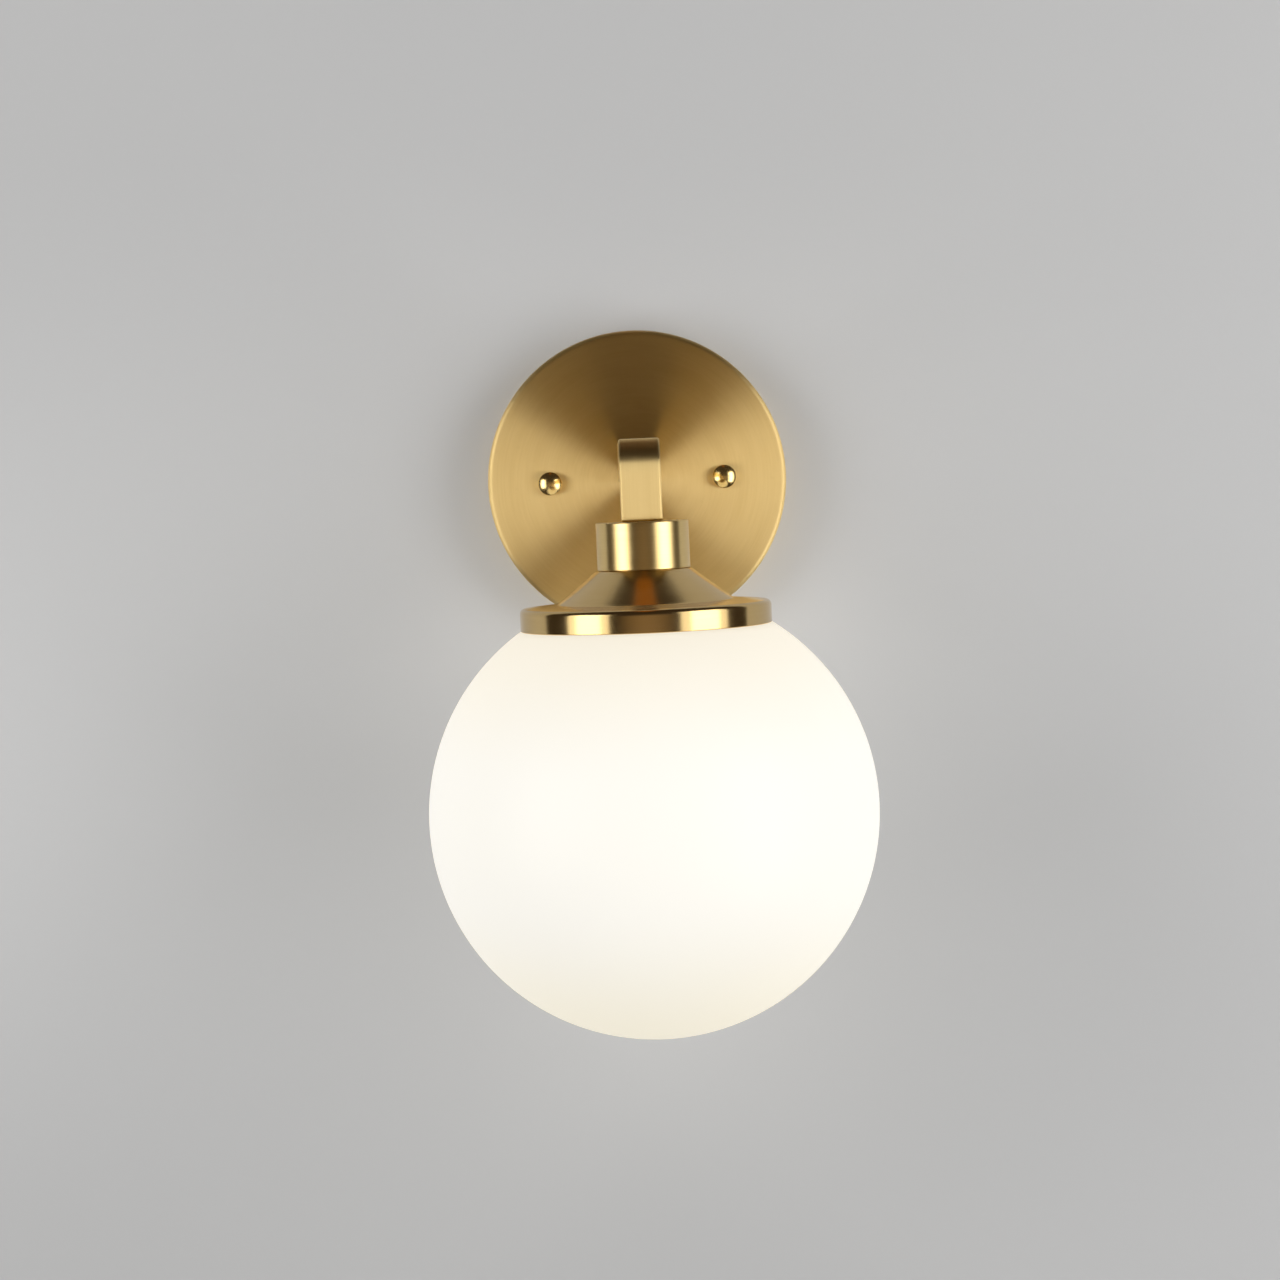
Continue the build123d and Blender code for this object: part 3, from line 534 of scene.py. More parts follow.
@dataclass(frozen=True)
class PlainFinish(Finish):
    """Plated, moulded, glazed or machined surface: two close colours in clouds, fine grain and specks."""

    light: Colour
    dark: Colour
    surface: Surface
    roughness: float
    metallic: float = 0.0
    coat: float = 0.0
    cloud_scale: float = 40.0
    speck_share: float = 0.35
    glow: Colour | None = None
    glow_strength: float = 0.0

    def lay(self, desk: NodeDesk, shader: bpy.types.Node, effects: Effects) -> None:
        """Lay the clouds of colour, the specks, and a grain in the roughness and the relief.

        Args:
            desk: the desk for the material's tree.
            shader: its shader.
            effects: the shared node groups.
        """
        marks_per_metre, depth, spread = self.surface.value
        place = desk.here()
        haze = desk.add("Group", {"Place": place, "Scale": self.cloud_scale}, node_tree=effects.haze).outputs
        grain = desk.add("Group", {"Place": place, "Scale": marks_per_metre}, node_tree=effects.grain).outputs[0]
        colour = desk.between(desk.ramp(haze["Haze"], 0.34, 0.66), self.dark, self.light)
        specks = desk.math("MULTIPLY", haze["Specks"], self.speck_share)
        drift = desk.math("ADD", desk.swing(grain, 2 * spread), desk.swing(haze["Haze"], 2 * spread))
        desk.feed(shader, {
            "Base Color": desk.between(specks, colour, self.dark),
            "Roughness": desk.math("ADD", drift, self.roughness), "Normal": self.bump(desk, grain, depth),
            "Metallic": self.metallic, "Coat Weight": self.coat,
        })
        if self.glow:
            desk.feed(shader, {"Emission Color": self.glow, "Emission Strength": self.glow_strength})


@dataclass(frozen=True)
class OpalGlass(Finish):
    """Matt white glass with the bulb's light painted into it as a glow: whitest round the bulb, creamier towards the
    neck and the foot, where the base colour carries painted shade.
    """

    white: Colour = (0.41, 0.397, 0.362, 1)
    # Painted shade: the base colour turns to this creamier tone towards the neck and the foot.
    shaded_cream: Colour = (0.40, 0.385, 0.345, 1)
    glow_middle: Colour = (0.92, 0.895, 0.835, 1)
    glow_neck: Colour = (0.96, 0.88, 0.725, 1)
    glow_foot: Colour = (0.96, 0.885, 0.70, 1)
    strength: float = 0.67
    middle: Place = (0.0, -0.120, -0.122)
    radius: float = 0.0825
    neck_fade: tuple[float, float] = (0.2, 0.85)
    foot_fade: tuple[float, float] = (-0.25, -1.0)
    cloud_scale: float = 18.0
    cloud_drift: float = 0.10
    grain_scale: float = 1400.0
    grain_depth: float = 6 * MICRON
    grain_drift: float = 0.12
    roughness: float = 0.42
    index: float = 1.5
    gloss: float = 0.3

    def lay(self, desk: NodeDesk, shader: bpy.types.Node, effects: Effects) -> None:
        """Lay the painted glow of the bulb's light and the painted shade of the base colour, which turn with the
        height above or below the globe's middle, in globe radii.

        Args:
            desk: the desk for the material's tree.
            shader: its shader.
            effects: the shared node groups.
        """
        place = desk.here()
        level = desk.add("SeparateXYZ", {0: desk.about(place, self.middle, (self.radius,) * 3)}).outputs["Z"]
        haze = desk.add("Group", {"Place": place, "Scale": self.cloud_scale}, node_tree=effects.haze).outputs["Haze"]
        grain = desk.add("Group", {"Place": place, "Scale": self.grain_scale}, node_tree=effects.grain).outputs[0]
        level = desk.math("ADD", level, desk.swing(haze, self.cloud_drift))
        upper, lower = [desk.ramp(level, *fade, smooth=True) for fade in (self.neck_fade, self.foot_fade)]
        lit = desk.between(upper, self.glow_middle, self.glow_neck)
        # Painted light: the emission stands in for the bulb shining through the glass, creamier towards neck and
        # foot; the base colour's creamier ends there are painted shade.
        desk.feed(shader, {
            "Base Color": desk.between(desk.math("MAXIMUM", upper, lower), self.white, self.shaded_cream),
            "Emission Color": desk.between(lower, lit, self.glow_foot), "Emission Strength": self.strength,
            "Roughness": desk.math("ADD", desk.math("MULTIPLY", grain, self.grain_drift), self.roughness),
            "Normal": self.bump(desk, grain, self.grain_depth), "IOR": self.index, "Specular IOR Level": self.gloss,
        })


class Workshop:
    """Keeps the finishes and gives each finished piece its body and the nodes that it stands for."""

    def __init__(self, frame: dict[str, Any]) -> None:
        """Build the effects that the finishes share.

        Args:
            frame: the loaded model.
        """
        self.frame = frame
        self.effects = Effects()
        self.made: dict[str, bpy.types.Material] = {}

    def coat_with(self, finish: Finish) -> bpy.types.Material:
        """Give the material of a finish, built at its first use.

        Args:
            finish: the finish.

        Returns:
            The material.
        """
        if finish.name not in self.made:
            self.made[finish.name] = finish.material(self.effects)
        return self.made[finish.name]

    def place(self, piece: Piece, body: str, slot: str, finish: Finish, *nodes: str) -> None:
        """Dress a new piece and say which nodes it stands for.

        Args:
            piece: the new object.
            body: the body that it moves with.
            slot: the record's material slot; not used.
            finish: what it is coated with.
            nodes: the nodes that it replaces.
        """
        piece.data.materials.append(self.coat_with(finish))
        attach(piece, body)
        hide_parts(*nodes)
        LOG.info("%s: %d faces, rides on %s", piece.name, len(piece.data.polygons), body)

    def recoat(self, node: str, finish: Finish) -> None:
        """Coat a node that keeps its own mesh.

        Args:
            node: the node's name.
            finish: what it is coated with.
        """
        mesh = self.frame["nodes"][node].data
        mesh.materials.clear()
        mesh.materials.append(self.coat_with(finish))
        LOG.info("%s: coated with %s", node, finish.name)


# Sub-assemblies


@dataclass
class WallPlate:
    """Spun plate that stands on the wall, with the two domed knobs and the threaded studs behind them."""

    radius: float = 60 * MM
    depth: float = 20 * MM
    wall: float = 1.2 * MM
    edge: float = 2.0 * MM
    foot_edge: float = 0.2 * MM
    stud_x: float = 35 * MM
    stud_radius: float = 2.0 * MM
    stud_pitch: float = 0.7 * MM
    knob_radius: float = 4.7 * MM
    skirt: float = 3.0 * MM
    dome: float = 6.7 * MM
    knob_edge: float = 0.5 * MM
    skin: float = 1.6 * MM
    fit: float = 0.05 * MM
    plate_step: float = 3 * MM
    plate_columns: int = 256
    knob_step: float = 1 * MM
    knob_columns: int = 72
    plate_finish: Finish = BrushedBrass("plate_spun_brass", roughness=0.42, anisotropy=0.95, along=2.4,
                                        mark_depth=2.5 * MICRON)
    knob_finish: Finish = PlainFinish("knob_polished_brass", (0.90, 0.68, 0.30, 1), (0.84, 0.61, 0.24, 1),
                                      Surface.MACHINED, 0.21, metallic=1.0, cloud_scale=90.0)
    stud_finish: Finish = PlainFinish("stud_zinc", (0.66, 0.66, 0.63, 1), (0.52, 0.52, 0.49, 1),
                                      Surface.PLATED, 0.42, metallic=1.0)

    def plate(self) -> Piece:
        """Turn the pan: flat face, rounded edge, skirt to the wall and the same line back inside.

        Returns:
            The new object.
        """
        floor, inner = self.depth - self.wall, self.radius - self.wall
        line = [(0, self.depth), (self.radius, self.depth), (self.radius, 0), (inner, 0), (inner, floor), (0, floor)]
        outline = rounded(line, [0, self.edge, self.foot_edge, self.foot_edge, self.edge - self.wall, 0], False)
        return turned_piece("plate_spun", refined(outline, self.plate_step, False), (0, 0), Axis.FORWARD, False,
                            self.plate_columns)

    def knob(self, name: str, side: int) -> Piece:
        """Turn one domed nut: bore, flat foot, straight skirt, soft edge and dome.

        The edge's arc touches the skirt and, from inside, the dome, so its centre lies the difference of the
        two radii from the dome's centre.

        Args:
            name: piece name.
            side: -1 for the left one and 1 for the right one.

        Returns:
            The new object.
        """
        top, bore = self.knob_top(), self.stud_radius + self.fit
        centre, hub = top - self.dome, self.knob_radius - self.knob_edge
        level = math.sqrt((self.dome - self.knob_edge) ** 2 - hub ** 2)
        foot = np.array([(0, top - self.skin), (bore, top - self.skin), (bore, self.depth),
                         (self.knob_radius, self.depth)])
        start = math.atan2(level, hub)
        edge = np.array([hub, centre + level]) + arc(0, self.knob_edge, 0, start, 10)
        head = arc(centre, self.dome, start, math.pi / 2, 30)[1:]
        head[-1, 0] = 0.0
        outline = refined(np.vstack([foot, edge, head]), self.knob_step, False)
        return turned_piece(name, outline, (side * self.stud_x, 0), Axis.FORWARD, False, self.knob_columns)

    def knob_top(self) -> float:
        """Height of the dome's crown out of the wall."""
        return self.depth + self.skirt + self.dome - math.sqrt(self.dome ** 2 - self.knob_radius ** 2)

    def build(self, workshop: Workshop) -> None:
        """Make and dress the plate, the knobs, and the studs from the wall to the inside of the knobs.

        Args:
            workshop: what dresses the pieces.
        """
        workshop.place(self.plate(), "fixture", "satin_brass", self.plate_finish, "wall_plate")
        sides = {"left": -1, "right": 1}
        for name, side in sides.items():
            workshop.place(self.knob(f"knob_{name}", side), f"{name}_knob", "polished_brass", self.knob_finish,
                           f"{name}_dome_knob")
        end = self.knob_top() - self.skin - self.fit
        for name, side in sides.items():
            stud = threaded_rod(f"stud_{name}", self.stud_radius, 0.0, self.stud_pitch, (0.0, end),
                                (side * self.stud_x, 0))
            workshop.place(stud, "fixture", "zinc_steel", self.stud_finish, "mounting_studs")


@dataclass
class Arm:
    """Rectangular tube that leaves the plate level and turns down at a rounded corner."""

    width: float = 15 * MM
    height: float = 16 * MM
    wall: float = 1.2 * MM
    top: float = 15.2 * MM
    start: float = 20 * MM
    reach: float = 120 * MM
    lower_end: float = -15 * MM
    corner: float = 15 * MM
    crest_turn: float = math.radians(55)
    crest: float = 1.6 * MM
    inner_corner: float = 1.5 * MM
    edge: float = 1.0 * MM
    least_edge: float = 0.25 * MM
    end_edge: float = 0.9 * MM
    level_steps: int = 23
    soft_steps: int = 9
    map_length: float = 0.3
    finish: Finish = BrushedBrass("arm_brushed_brass", roughness=0.42, anisotropy=0.95, along=0.9, across=1700.0,
                                  mark_depth=5 * MICRON)

    def turn(self) -> np.ndarray:
        """Angles that the faces of the bend look up by: quickly from upright to the crest, then slowly to level."""
        return np.concatenate([np.linspace(math.pi / 2, self.crest_turn, 8), np.linspace(self.crest_turn, 0, 25)[1:]])

    def line(self, inset: float, outer: bool, drop: np.ndarray) -> np.ndarray:
        """Side line of the tube: a level run, a quarter turn and a run down, in distance out and height.

        The outer turn is a broad arc up to the crest and a tight one over it, which share a point and a normal
        there: the tight arc's centre is the broad one's plus the difference of their radii along that normal.

        Args:
            inset: how far the line lies inside the tube's outside.
            outer: the line over the top and front, or the one under the leg and behind the drop.
            drop: heights of the stations on the run down, as shares of it.

        Returns:
            Rows of (distance out of the wall, height).
        """
        turn = self.turn()
        facing = np.stack([np.cos(turn), np.sin(turn)], axis=1)
        if outer:
            broad, tight = self.corner - inset, self.crest - inset
            far, level = self.reach + self.height / 2 - inset, self.top - inset
            ridge = np.array([math.cos(self.crest_turn), math.sin(self.crest_turn)])
            foot = np.array([far - broad, level - tight - (broad - tight) * ridge[1]])
            over = foot + (broad - tight) * ridge
            tall = (turn > self.crest_turn + 1e-9)[:, None]
            round_run = np.where(tall, over + tight * facing, foot + broad * facing)
        else:
            radius, far = self.inner_corner + inset, self.reach - self.height / 2 + inset
            level = self.top - self.height + inset
            round_run = np.array([far - radius, level - radius]) + radius * facing
        leg = np.linspace(self.start, round_run[0, 0], self.level_steps + 1)[:-1]
        level_run = np.stack([leg, np.full_like(leg, level)], axis=1)
        bottom = round_run[-1, 1]
        down_run = np.stack([np.full_like(drop, far), bottom + (self.lower_end - bottom) * drop], axis=1)
        return np.vstack([level_run, round_run, down_run])

    def skin(self, inset: float, soft_end: bool) -> np.ndarray:
        """One skin of the tube as a grid of stations by points round the section.

        At each station the section is a rounded rectangle. Its height runs along the straight line from the
        inner side line to the outer one, with distances from each line measured square to it, so flat faces
        stay flat. Towards a soft end the corner radius, and with it the section, shrinks by edge * (1 - cos)
        while the station moves on by edge * sin.

        Args:
            inset: how far the skin lies inside the tube's outside.
            soft_end: whether the lower end is softened.

        Returns:
            Array of stations, columns and 3 coordinates.
        """
        soft = np.linspace(0, math.pi / 2, self.soft_steps)
        fall = np.linspace(0.08, 1.0, 10)
        if soft_end:
            share = self.end_edge / (self.line(0.0, True, fall)[-len(fall) - 1, 1] - self.lower_end)
            fall = np.concatenate([fall[:-1] * (1 - share), 1 - share * (1 - np.sin(soft))])
        outer, inner = self.line(inset, True, fall), self.line(inset, False, fall)
        shrink = np.zeros(len(outer))
        if soft_end:
            inner[-self.soft_steps:, 1] = outer[-self.soft_steps:, 1]
            shrink[-self.soft_steps:] = self.end_edge * (1 - np.cos(soft))
        square = np.zeros_like(outer)
        turn = self.turn()
        bend = slice(self.level_steps, self.level_steps + len(turn))
        square[:bend.start, 1] = 1.0
        square[bend] = np.stack([np.cos(turn), np.sin(turn)], axis=1)
        square[bend.stop:, 0] = 1.0
        tall = ((outer - inner) * square).sum(axis=1)

        radius = max(self.edge - inset, self.least_edge)
        half, high = self.width / 2 - inset, self.height - 2 * inset
        quarter = np.linspace(0, math.pi / 2, 8)
        angle = np.concatenate([quarter + k * math.pi / 2 for k in range(4)])
        side = np.repeat([1, -1, -1, 1], len(quarter)) * (half - radius)
        level = np.repeat([high - radius, high - radius, radius, radius], len(quarter))
        grow = (radius - shrink)[:, None]
        across = side + grow * np.cos(angle)
        up = level + grow * np.sin(angle)
        share = np.where(level > high / 2, 1 - (high - up) / tall[:, None], up / tall[:, None])
        spot = inner[:, None, :] + (outer - inner)[:, None, :] * share[:, :, None]
        return np.stack([across, -spot[..., 0], spot[..., 1]], axis=-1)

    def build(self, workshop: Workshop) -> None:
        """Join the outer skin and the reversed inner skin into one closed tube and dress it.

        Args:
            workshop: what dresses the piece.
        """
        points = np.vstack([self.skin(0.0, True), self.skin(self.wall, False)[::-1]])
        ahead = run_lengths(looped(points[:, 0])) / self.map_length
        piece = grid_piece("arm_bent", points, ahead, run_lengths(looped(points[0])), True, True)
        workshop.place(piece, "fixture", "satin_brass", self.finish, "arm_tube")


@dataclass
class Head:
    """Turned collar under the arm and the spun holder: cone, sloping shoulder and rim in one sheet."""

    y: float = -120 * MM
    collar_radius: float = 17 * MM
    collar_top: float = -15 * MM
    collar_height: float = 17.5 * MM
    collar_wall: float = 2 * MM
    collar_roof: float = 3 * MM
    collar_edge: float = 0.5 * MM
    way: float = 5.2 * MM
    sheet: float = 1.2 * MM
    cone_top: float = 17.5 * MM
    cone_base: float = 32.5 * MM
    cone_height: float = 11.8 * MM
    rim: float = 46 * MM
    shoulder_drop: float = 1.0 * MM
    rim_height: float = 8.2 * MM
    rim_rounding: float = 1.9 * MM
    rim_foot: float = 0.35 * MM
    cone_top_rounding: float = 0.8 * MM
    cone_base_rounding: float = 0.6 * MM
    inner_rounding: float = 0.3 * MM
    collar_step: float = 2 * MM
    holder_step: float = 1.5 * MM
    holder_columns: int = 224
    collar_finish: Finish = BrushedBrass("collar_turned_brass", roughness=0.31, anisotropy=0.7, along=1.2,
                                         across=1900.0, mark_depth=1 * MICRON)
    # Painted shade: the holder's brass is a darker copy of the satin brass on the plate, arm and collar, so its cone
    # and rim read darker.
    holder_finish: Finish = BrushedBrass("holder_spun_brass", (0.675, 0.485, 0.218, 1), (0.635, 0.450, 0.194, 1),
                                         roughness=0.17, anisotropy=0.5, along=2.0, mark_depth=1 * MICRON)

    def collar(self) -> Piece:
        """Turn the ferrule: roof with a hole, thin wall and softened edges.

        Returns:
            The new object.
        """
        foot, inside = self.collar_top - self.collar_height, self.collar_radius - self.collar_wall
        roof = self.collar_top - self.collar_roof
        line = [(self.way, self.collar_top), (self.collar_radius, self.collar_top), (self.collar_radius, foot),
                (inside, foot), (inside, roof), (self.way, roof)]
        outline = rounded(line, [0, self.collar_edge, self.collar_edge, 0, 0, 0], True)
        return turned_piece("collar_turned", refined(outline, self.collar_step, True), (0, self.y), Axis.UP, True)

    def holder(self) -> Piece:
        """Spin the sheet: the outer line down the roof, cone, shoulder and rim, and the same line back inside.

        The inner line is the outer one moved square to each run by the thickness, with its corners where the
        moved runs meet: corner + thickness * (normal before + normal after) / (1 + their dot product).

        Returns:
            The new object.
        """
        top = self.collar_top - self.collar_height
        shoulder = top - self.cone_height
        edge = shoulder - self.shoulder_drop
        outer = np.array([(self.way, top), (self.cone_top, top), (self.cone_base, shoulder), (self.rim, edge),
                          (self.rim, edge - self.rim_height)])
        ahead = unit(np.diff(outer, axis=0))
        normal = np.stack([ahead[:, 1], -ahead[:, 0]], axis=1)
        first, last = np.vstack([normal[:1], normal]), np.vstack([normal, normal[-1:]])
        inner = outer + self.sheet * (first + last) / (1 + (first * last).sum(axis=1, keepdims=True))
        soft = [0.0, self.cone_top_rounding, self.cone_base_rounding, self.rim_rounding, self.rim_foot]
        back = [self.rim_foot, self.rim_rounding - self.sheet, self.cone_base_rounding + self.sheet,
                self.inner_rounding, 0.0]
        outline = rounded(np.vstack([outer, inner[::-1]]), soft + back, True)
        return turned_piece("holder_spun", refined(outline, self.holder_step, True), (0, self.y), Axis.UP, True,
                            self.holder_columns)

    def build(self, workshop: Workshop) -> None:
        """Make and dress the collar and the holder."""
        workshop.place(self.collar(), "fixture", "satin_brass", self.collar_finish, "collar")
        workshop.place(self.holder(), "fixture", "satin_brass", self.holder_finish, "shade_holder")


@dataclass
class Globe:
    """Blown opal globe whose threaded neck goes up into the rim."""

    y: float = -120 * MM
    radius: float = 82.5 * MM
    glass: float = 3 * MM
    lip: float = -53.55 * MM
    rim: float = 46 * MM
    neck: float = 43.55 * MM
    bore: float = 39.55 * MM
    fit: float = 0.05 * MM
    neck_edge: float = 0.6 * MM
    thread_pitch: float = 5 * MM
    thread_depth: float = 1.0 * MM
    thread_fade: float = 1.2 * MM
    neck_step: float = 0.4 * MM
    rows: int = 90
    columns: int = 192
    finish: Finish = OpalGlass("opal_glass_lit")

    def thread(self, outline: np.ndarray, neck_top: float) -> np.ndarray:
        """Depth of the right-hand glass thread at each row and column, which is zero off the neck.

        It is half the depth times 1 - cos of the phase, and the phase is a full turn times height / pitch
        minus the angle. It fades in over a short way at both ends of the neck.

        Args:
            outline: rows of (radius, height).
            neck_top: height of the neck's upper end.

        Returns:
            Array of rows and columns.
        """
        height = outline[:, 1:]
        angle = FULL_TURN * np.arange(self.columns) / self.columns
        wave = (1 - np.cos(FULL_TURN * (height - self.lip) / self.thread_pitch - angle)) / 2
        fade = (np.minimum(height - self.lip, neck_top - height) / self.thread_fade).clip(0, 1)
        on_neck = outline[:, :1] > (self.neck + self.bore) / 2
        return self.thread_depth * wave * fade * on_neck

    def build(self, workshop: Workshop) -> None:
        """Turn the outside from the foot up, go over the neck, and turn the inside back down; then dress it.

        Args:
            workshop: what dresses the piece.
        """
        centre = self.lip + self.fit - math.sqrt(self.radius ** 2 - self.rim ** 2)
        neck_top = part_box("glass_globe")[1][2]
        inside = self.radius - self.glass
        outer = arc(centre, self.radius, -math.pi / 2, math.asin((self.lip - centre) / self.radius), self.rows)
        inner = arc(centre, inside, math.acos(self.bore / inside), -math.pi / 2, self.rows)
        outer[0, 0] = inner[-1, 0] = 0.0
        neck = rounded([outer[-1], (self.neck, self.lip), (self.neck, neck_top), (self.bore, neck_top), inner[0]],
                       [0, 0, self.neck_edge, self.neck_edge, 0], False, 6)
        outline = np.vstack([outer[:-1], refined(neck, self.neck_step, False), inner[1:]])
        piece = turned_piece("globe_opal", outline, (0, self.y), Axis.UP, False, self.columns,
                             self.thread(outline, neck_top))
        workshop.place(piece, "globe", "opal_glass", self.finish, "glass_globe")


@dataclass
class Fittings:
    """Everything behind the plate and inside the head that keeps the CAD shape, by material slot."""

    finishes: dict[str, PlainFinish] = field(default_factory=lambda: {
        "plain_brass": PlainFinish("fitting_brass", (0.80, 0.60, 0.28, 1), (0.68, 0.48, 0.19, 1), Surface.MACHINED,
                                   0.40, metallic=1.0),
        "zinc_steel": PlainFinish("fitting_zinc", (0.68, 0.68, 0.66, 1), (0.50, 0.50, 0.48, 1), Surface.PLATED,
                                  0.42, metallic=1.0, cloud_scale=70.0),
        "green_screw": PlainFinish("green_dyed_zinc", (0.05, 0.30, 0.11, 1), (0.03, 0.20, 0.07, 1), Surface.PLATED,
                                   0.30, metallic=0.6, coat=0.4),
        "block_plastic": PlainFinish("terminal_plastic", (0.82, 0.80, 0.74, 1), (0.74, 0.71, 0.64, 1),
                                     Surface.MOULDED, 0.48),
        "lead_black": PlainFinish("lead_black_sleeve", (0.030, 0.029, 0.028, 1), (0.018, 0.017, 0.017, 1),
                                  Surface.MOULDED, 0.46),
        "lead_white": PlainFinish("lead_white_sleeve", (0.80, 0.79, 0.75, 1), (0.72, 0.70, 0.65, 1),
                                  Surface.MOULDED, 0.46),
        "porcelain": PlainFinish("glazed_porcelain", (0.86, 0.85, 0.81, 1), (0.80, 0.78, 0.73, 1), Surface.GLAZED,
                                 0.16, coat=0.6),
        "gasket_rubber": PlainFinish("gasket_silicone", (0.74, 0.72, 0.68, 1), (0.66, 0.64, 0.60, 1), Surface.RUBBER,
                                     0.62),
        "bulb_metal": PlainFinish("bulb_cap_metal", (0.76, 0.76, 0.74, 1), (0.62, 0.62, 0.60, 1), Surface.MACHINED,
                                  0.40, metallic=1.0),
        "bulb_black": PlainFinish("bulb_black_glass", (0.022, 0.020, 0.020, 1), (0.014, 0.013, 0.013, 1),
                                  Surface.GLAZED, 0.18),
        "bulb_white": PlainFinish("bulb_white_housing", (0.84, 0.84, 0.81, 1), (0.78, 0.77, 0.74, 1), Surface.MOULDED,
                                  0.34),
        "bulb_milky": PlainFinish("bulb_milky_cover", (0.86, 0.85, 0.80, 1), (0.82, 0.80, 0.75, 1), Surface.MOULDED,
                                  0.40, glow=(1.0, 0.93, 0.80, 1), glow_strength=0.8),
    })
    nipple_radius: float = 5.0 * MM
    nipple_bore: float = 3.6 * MM
    nipple_pitch: float = 1.0 * MM
    nipple_level: float = 7.2 * MM
    replaced: frozenset[str] = frozenset({
        "wall_plate", "left_dome_knob", "right_dome_knob", "mounting_studs", "arm_tube", "collar", "shade_holder",
        "glass_globe", "arm_root_nipple"})

    def root_nipple(self) -> Piece:
        """Thread the hollow tube that holds the arm on the plate, between the ends of its CAD shape."""
        low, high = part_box("arm_root_nipple")
        return threaded_rod("root_nipple_threaded", self.nipple_radius, self.nipple_bore, self.nipple_pitch,
                            (-high[1], -low[1]), (0, self.nipple_level))

    def build(self, workshop: Workshop) -> None:
        """Coat each CAD node by its slot and put the thread on the tube behind the plate.

        Args:
            workshop: what dresses the pieces.
        """
        workshop.place(self.root_nipple(), "fixture", "plain_brass", self.finishes["plain_brass"], "arm_root_nipple")
        for part in workshop.frame["record"]["subparts"]:
            if part["node"] not in self.replaced:
                workshop.recoat(part["node"], self.finishes[part["material_slot"]])


# Studio


@dataclass(frozen=True)
class Lamp:
    """One soft rectangular lamp: its place, the point that it faces, its width and height, and its watts."""

    name: str
    spot: Place
    target: Place
    size: tuple[float, float]
    power: float
    in_gloss: bool = True


@dataclass(frozen=True)
class Softbox:
    """One tall lamp beside the camera, by the angles that it spans as seen from the head."""

    name: str
    side: int
    near: float
    far: float
    radiance: float
    distance: float = 1.15
    bottom: float = -0.85
    top: float = 0.60

    def lamp(self, head_y: float) -> Lamp:
        """Stand the lamp at the middle of its angles, facing the head.

        Its width is 2 * distance * tan of half the angle that it spans, and its power radiance * pi * area.

        Args:
            head_y: where the head's axis stands.

        Returns:
            The lamp.
        """
        middle, half = math.radians((self.near + self.far) / 2), math.radians((self.far - self.near) / 2)
        level = (self.top + self.bottom) / 2
        spot = (self.side * self.distance * math.sin(middle), head_y - self.distance * math.cos(middle), level)
        width, height = 2 * self.distance * math.tan(half), self.top - self.bottom
        return Lamp(self.name, spot, (0.0, head_y, level), (width, height), self.radiance * math.pi * width * height)


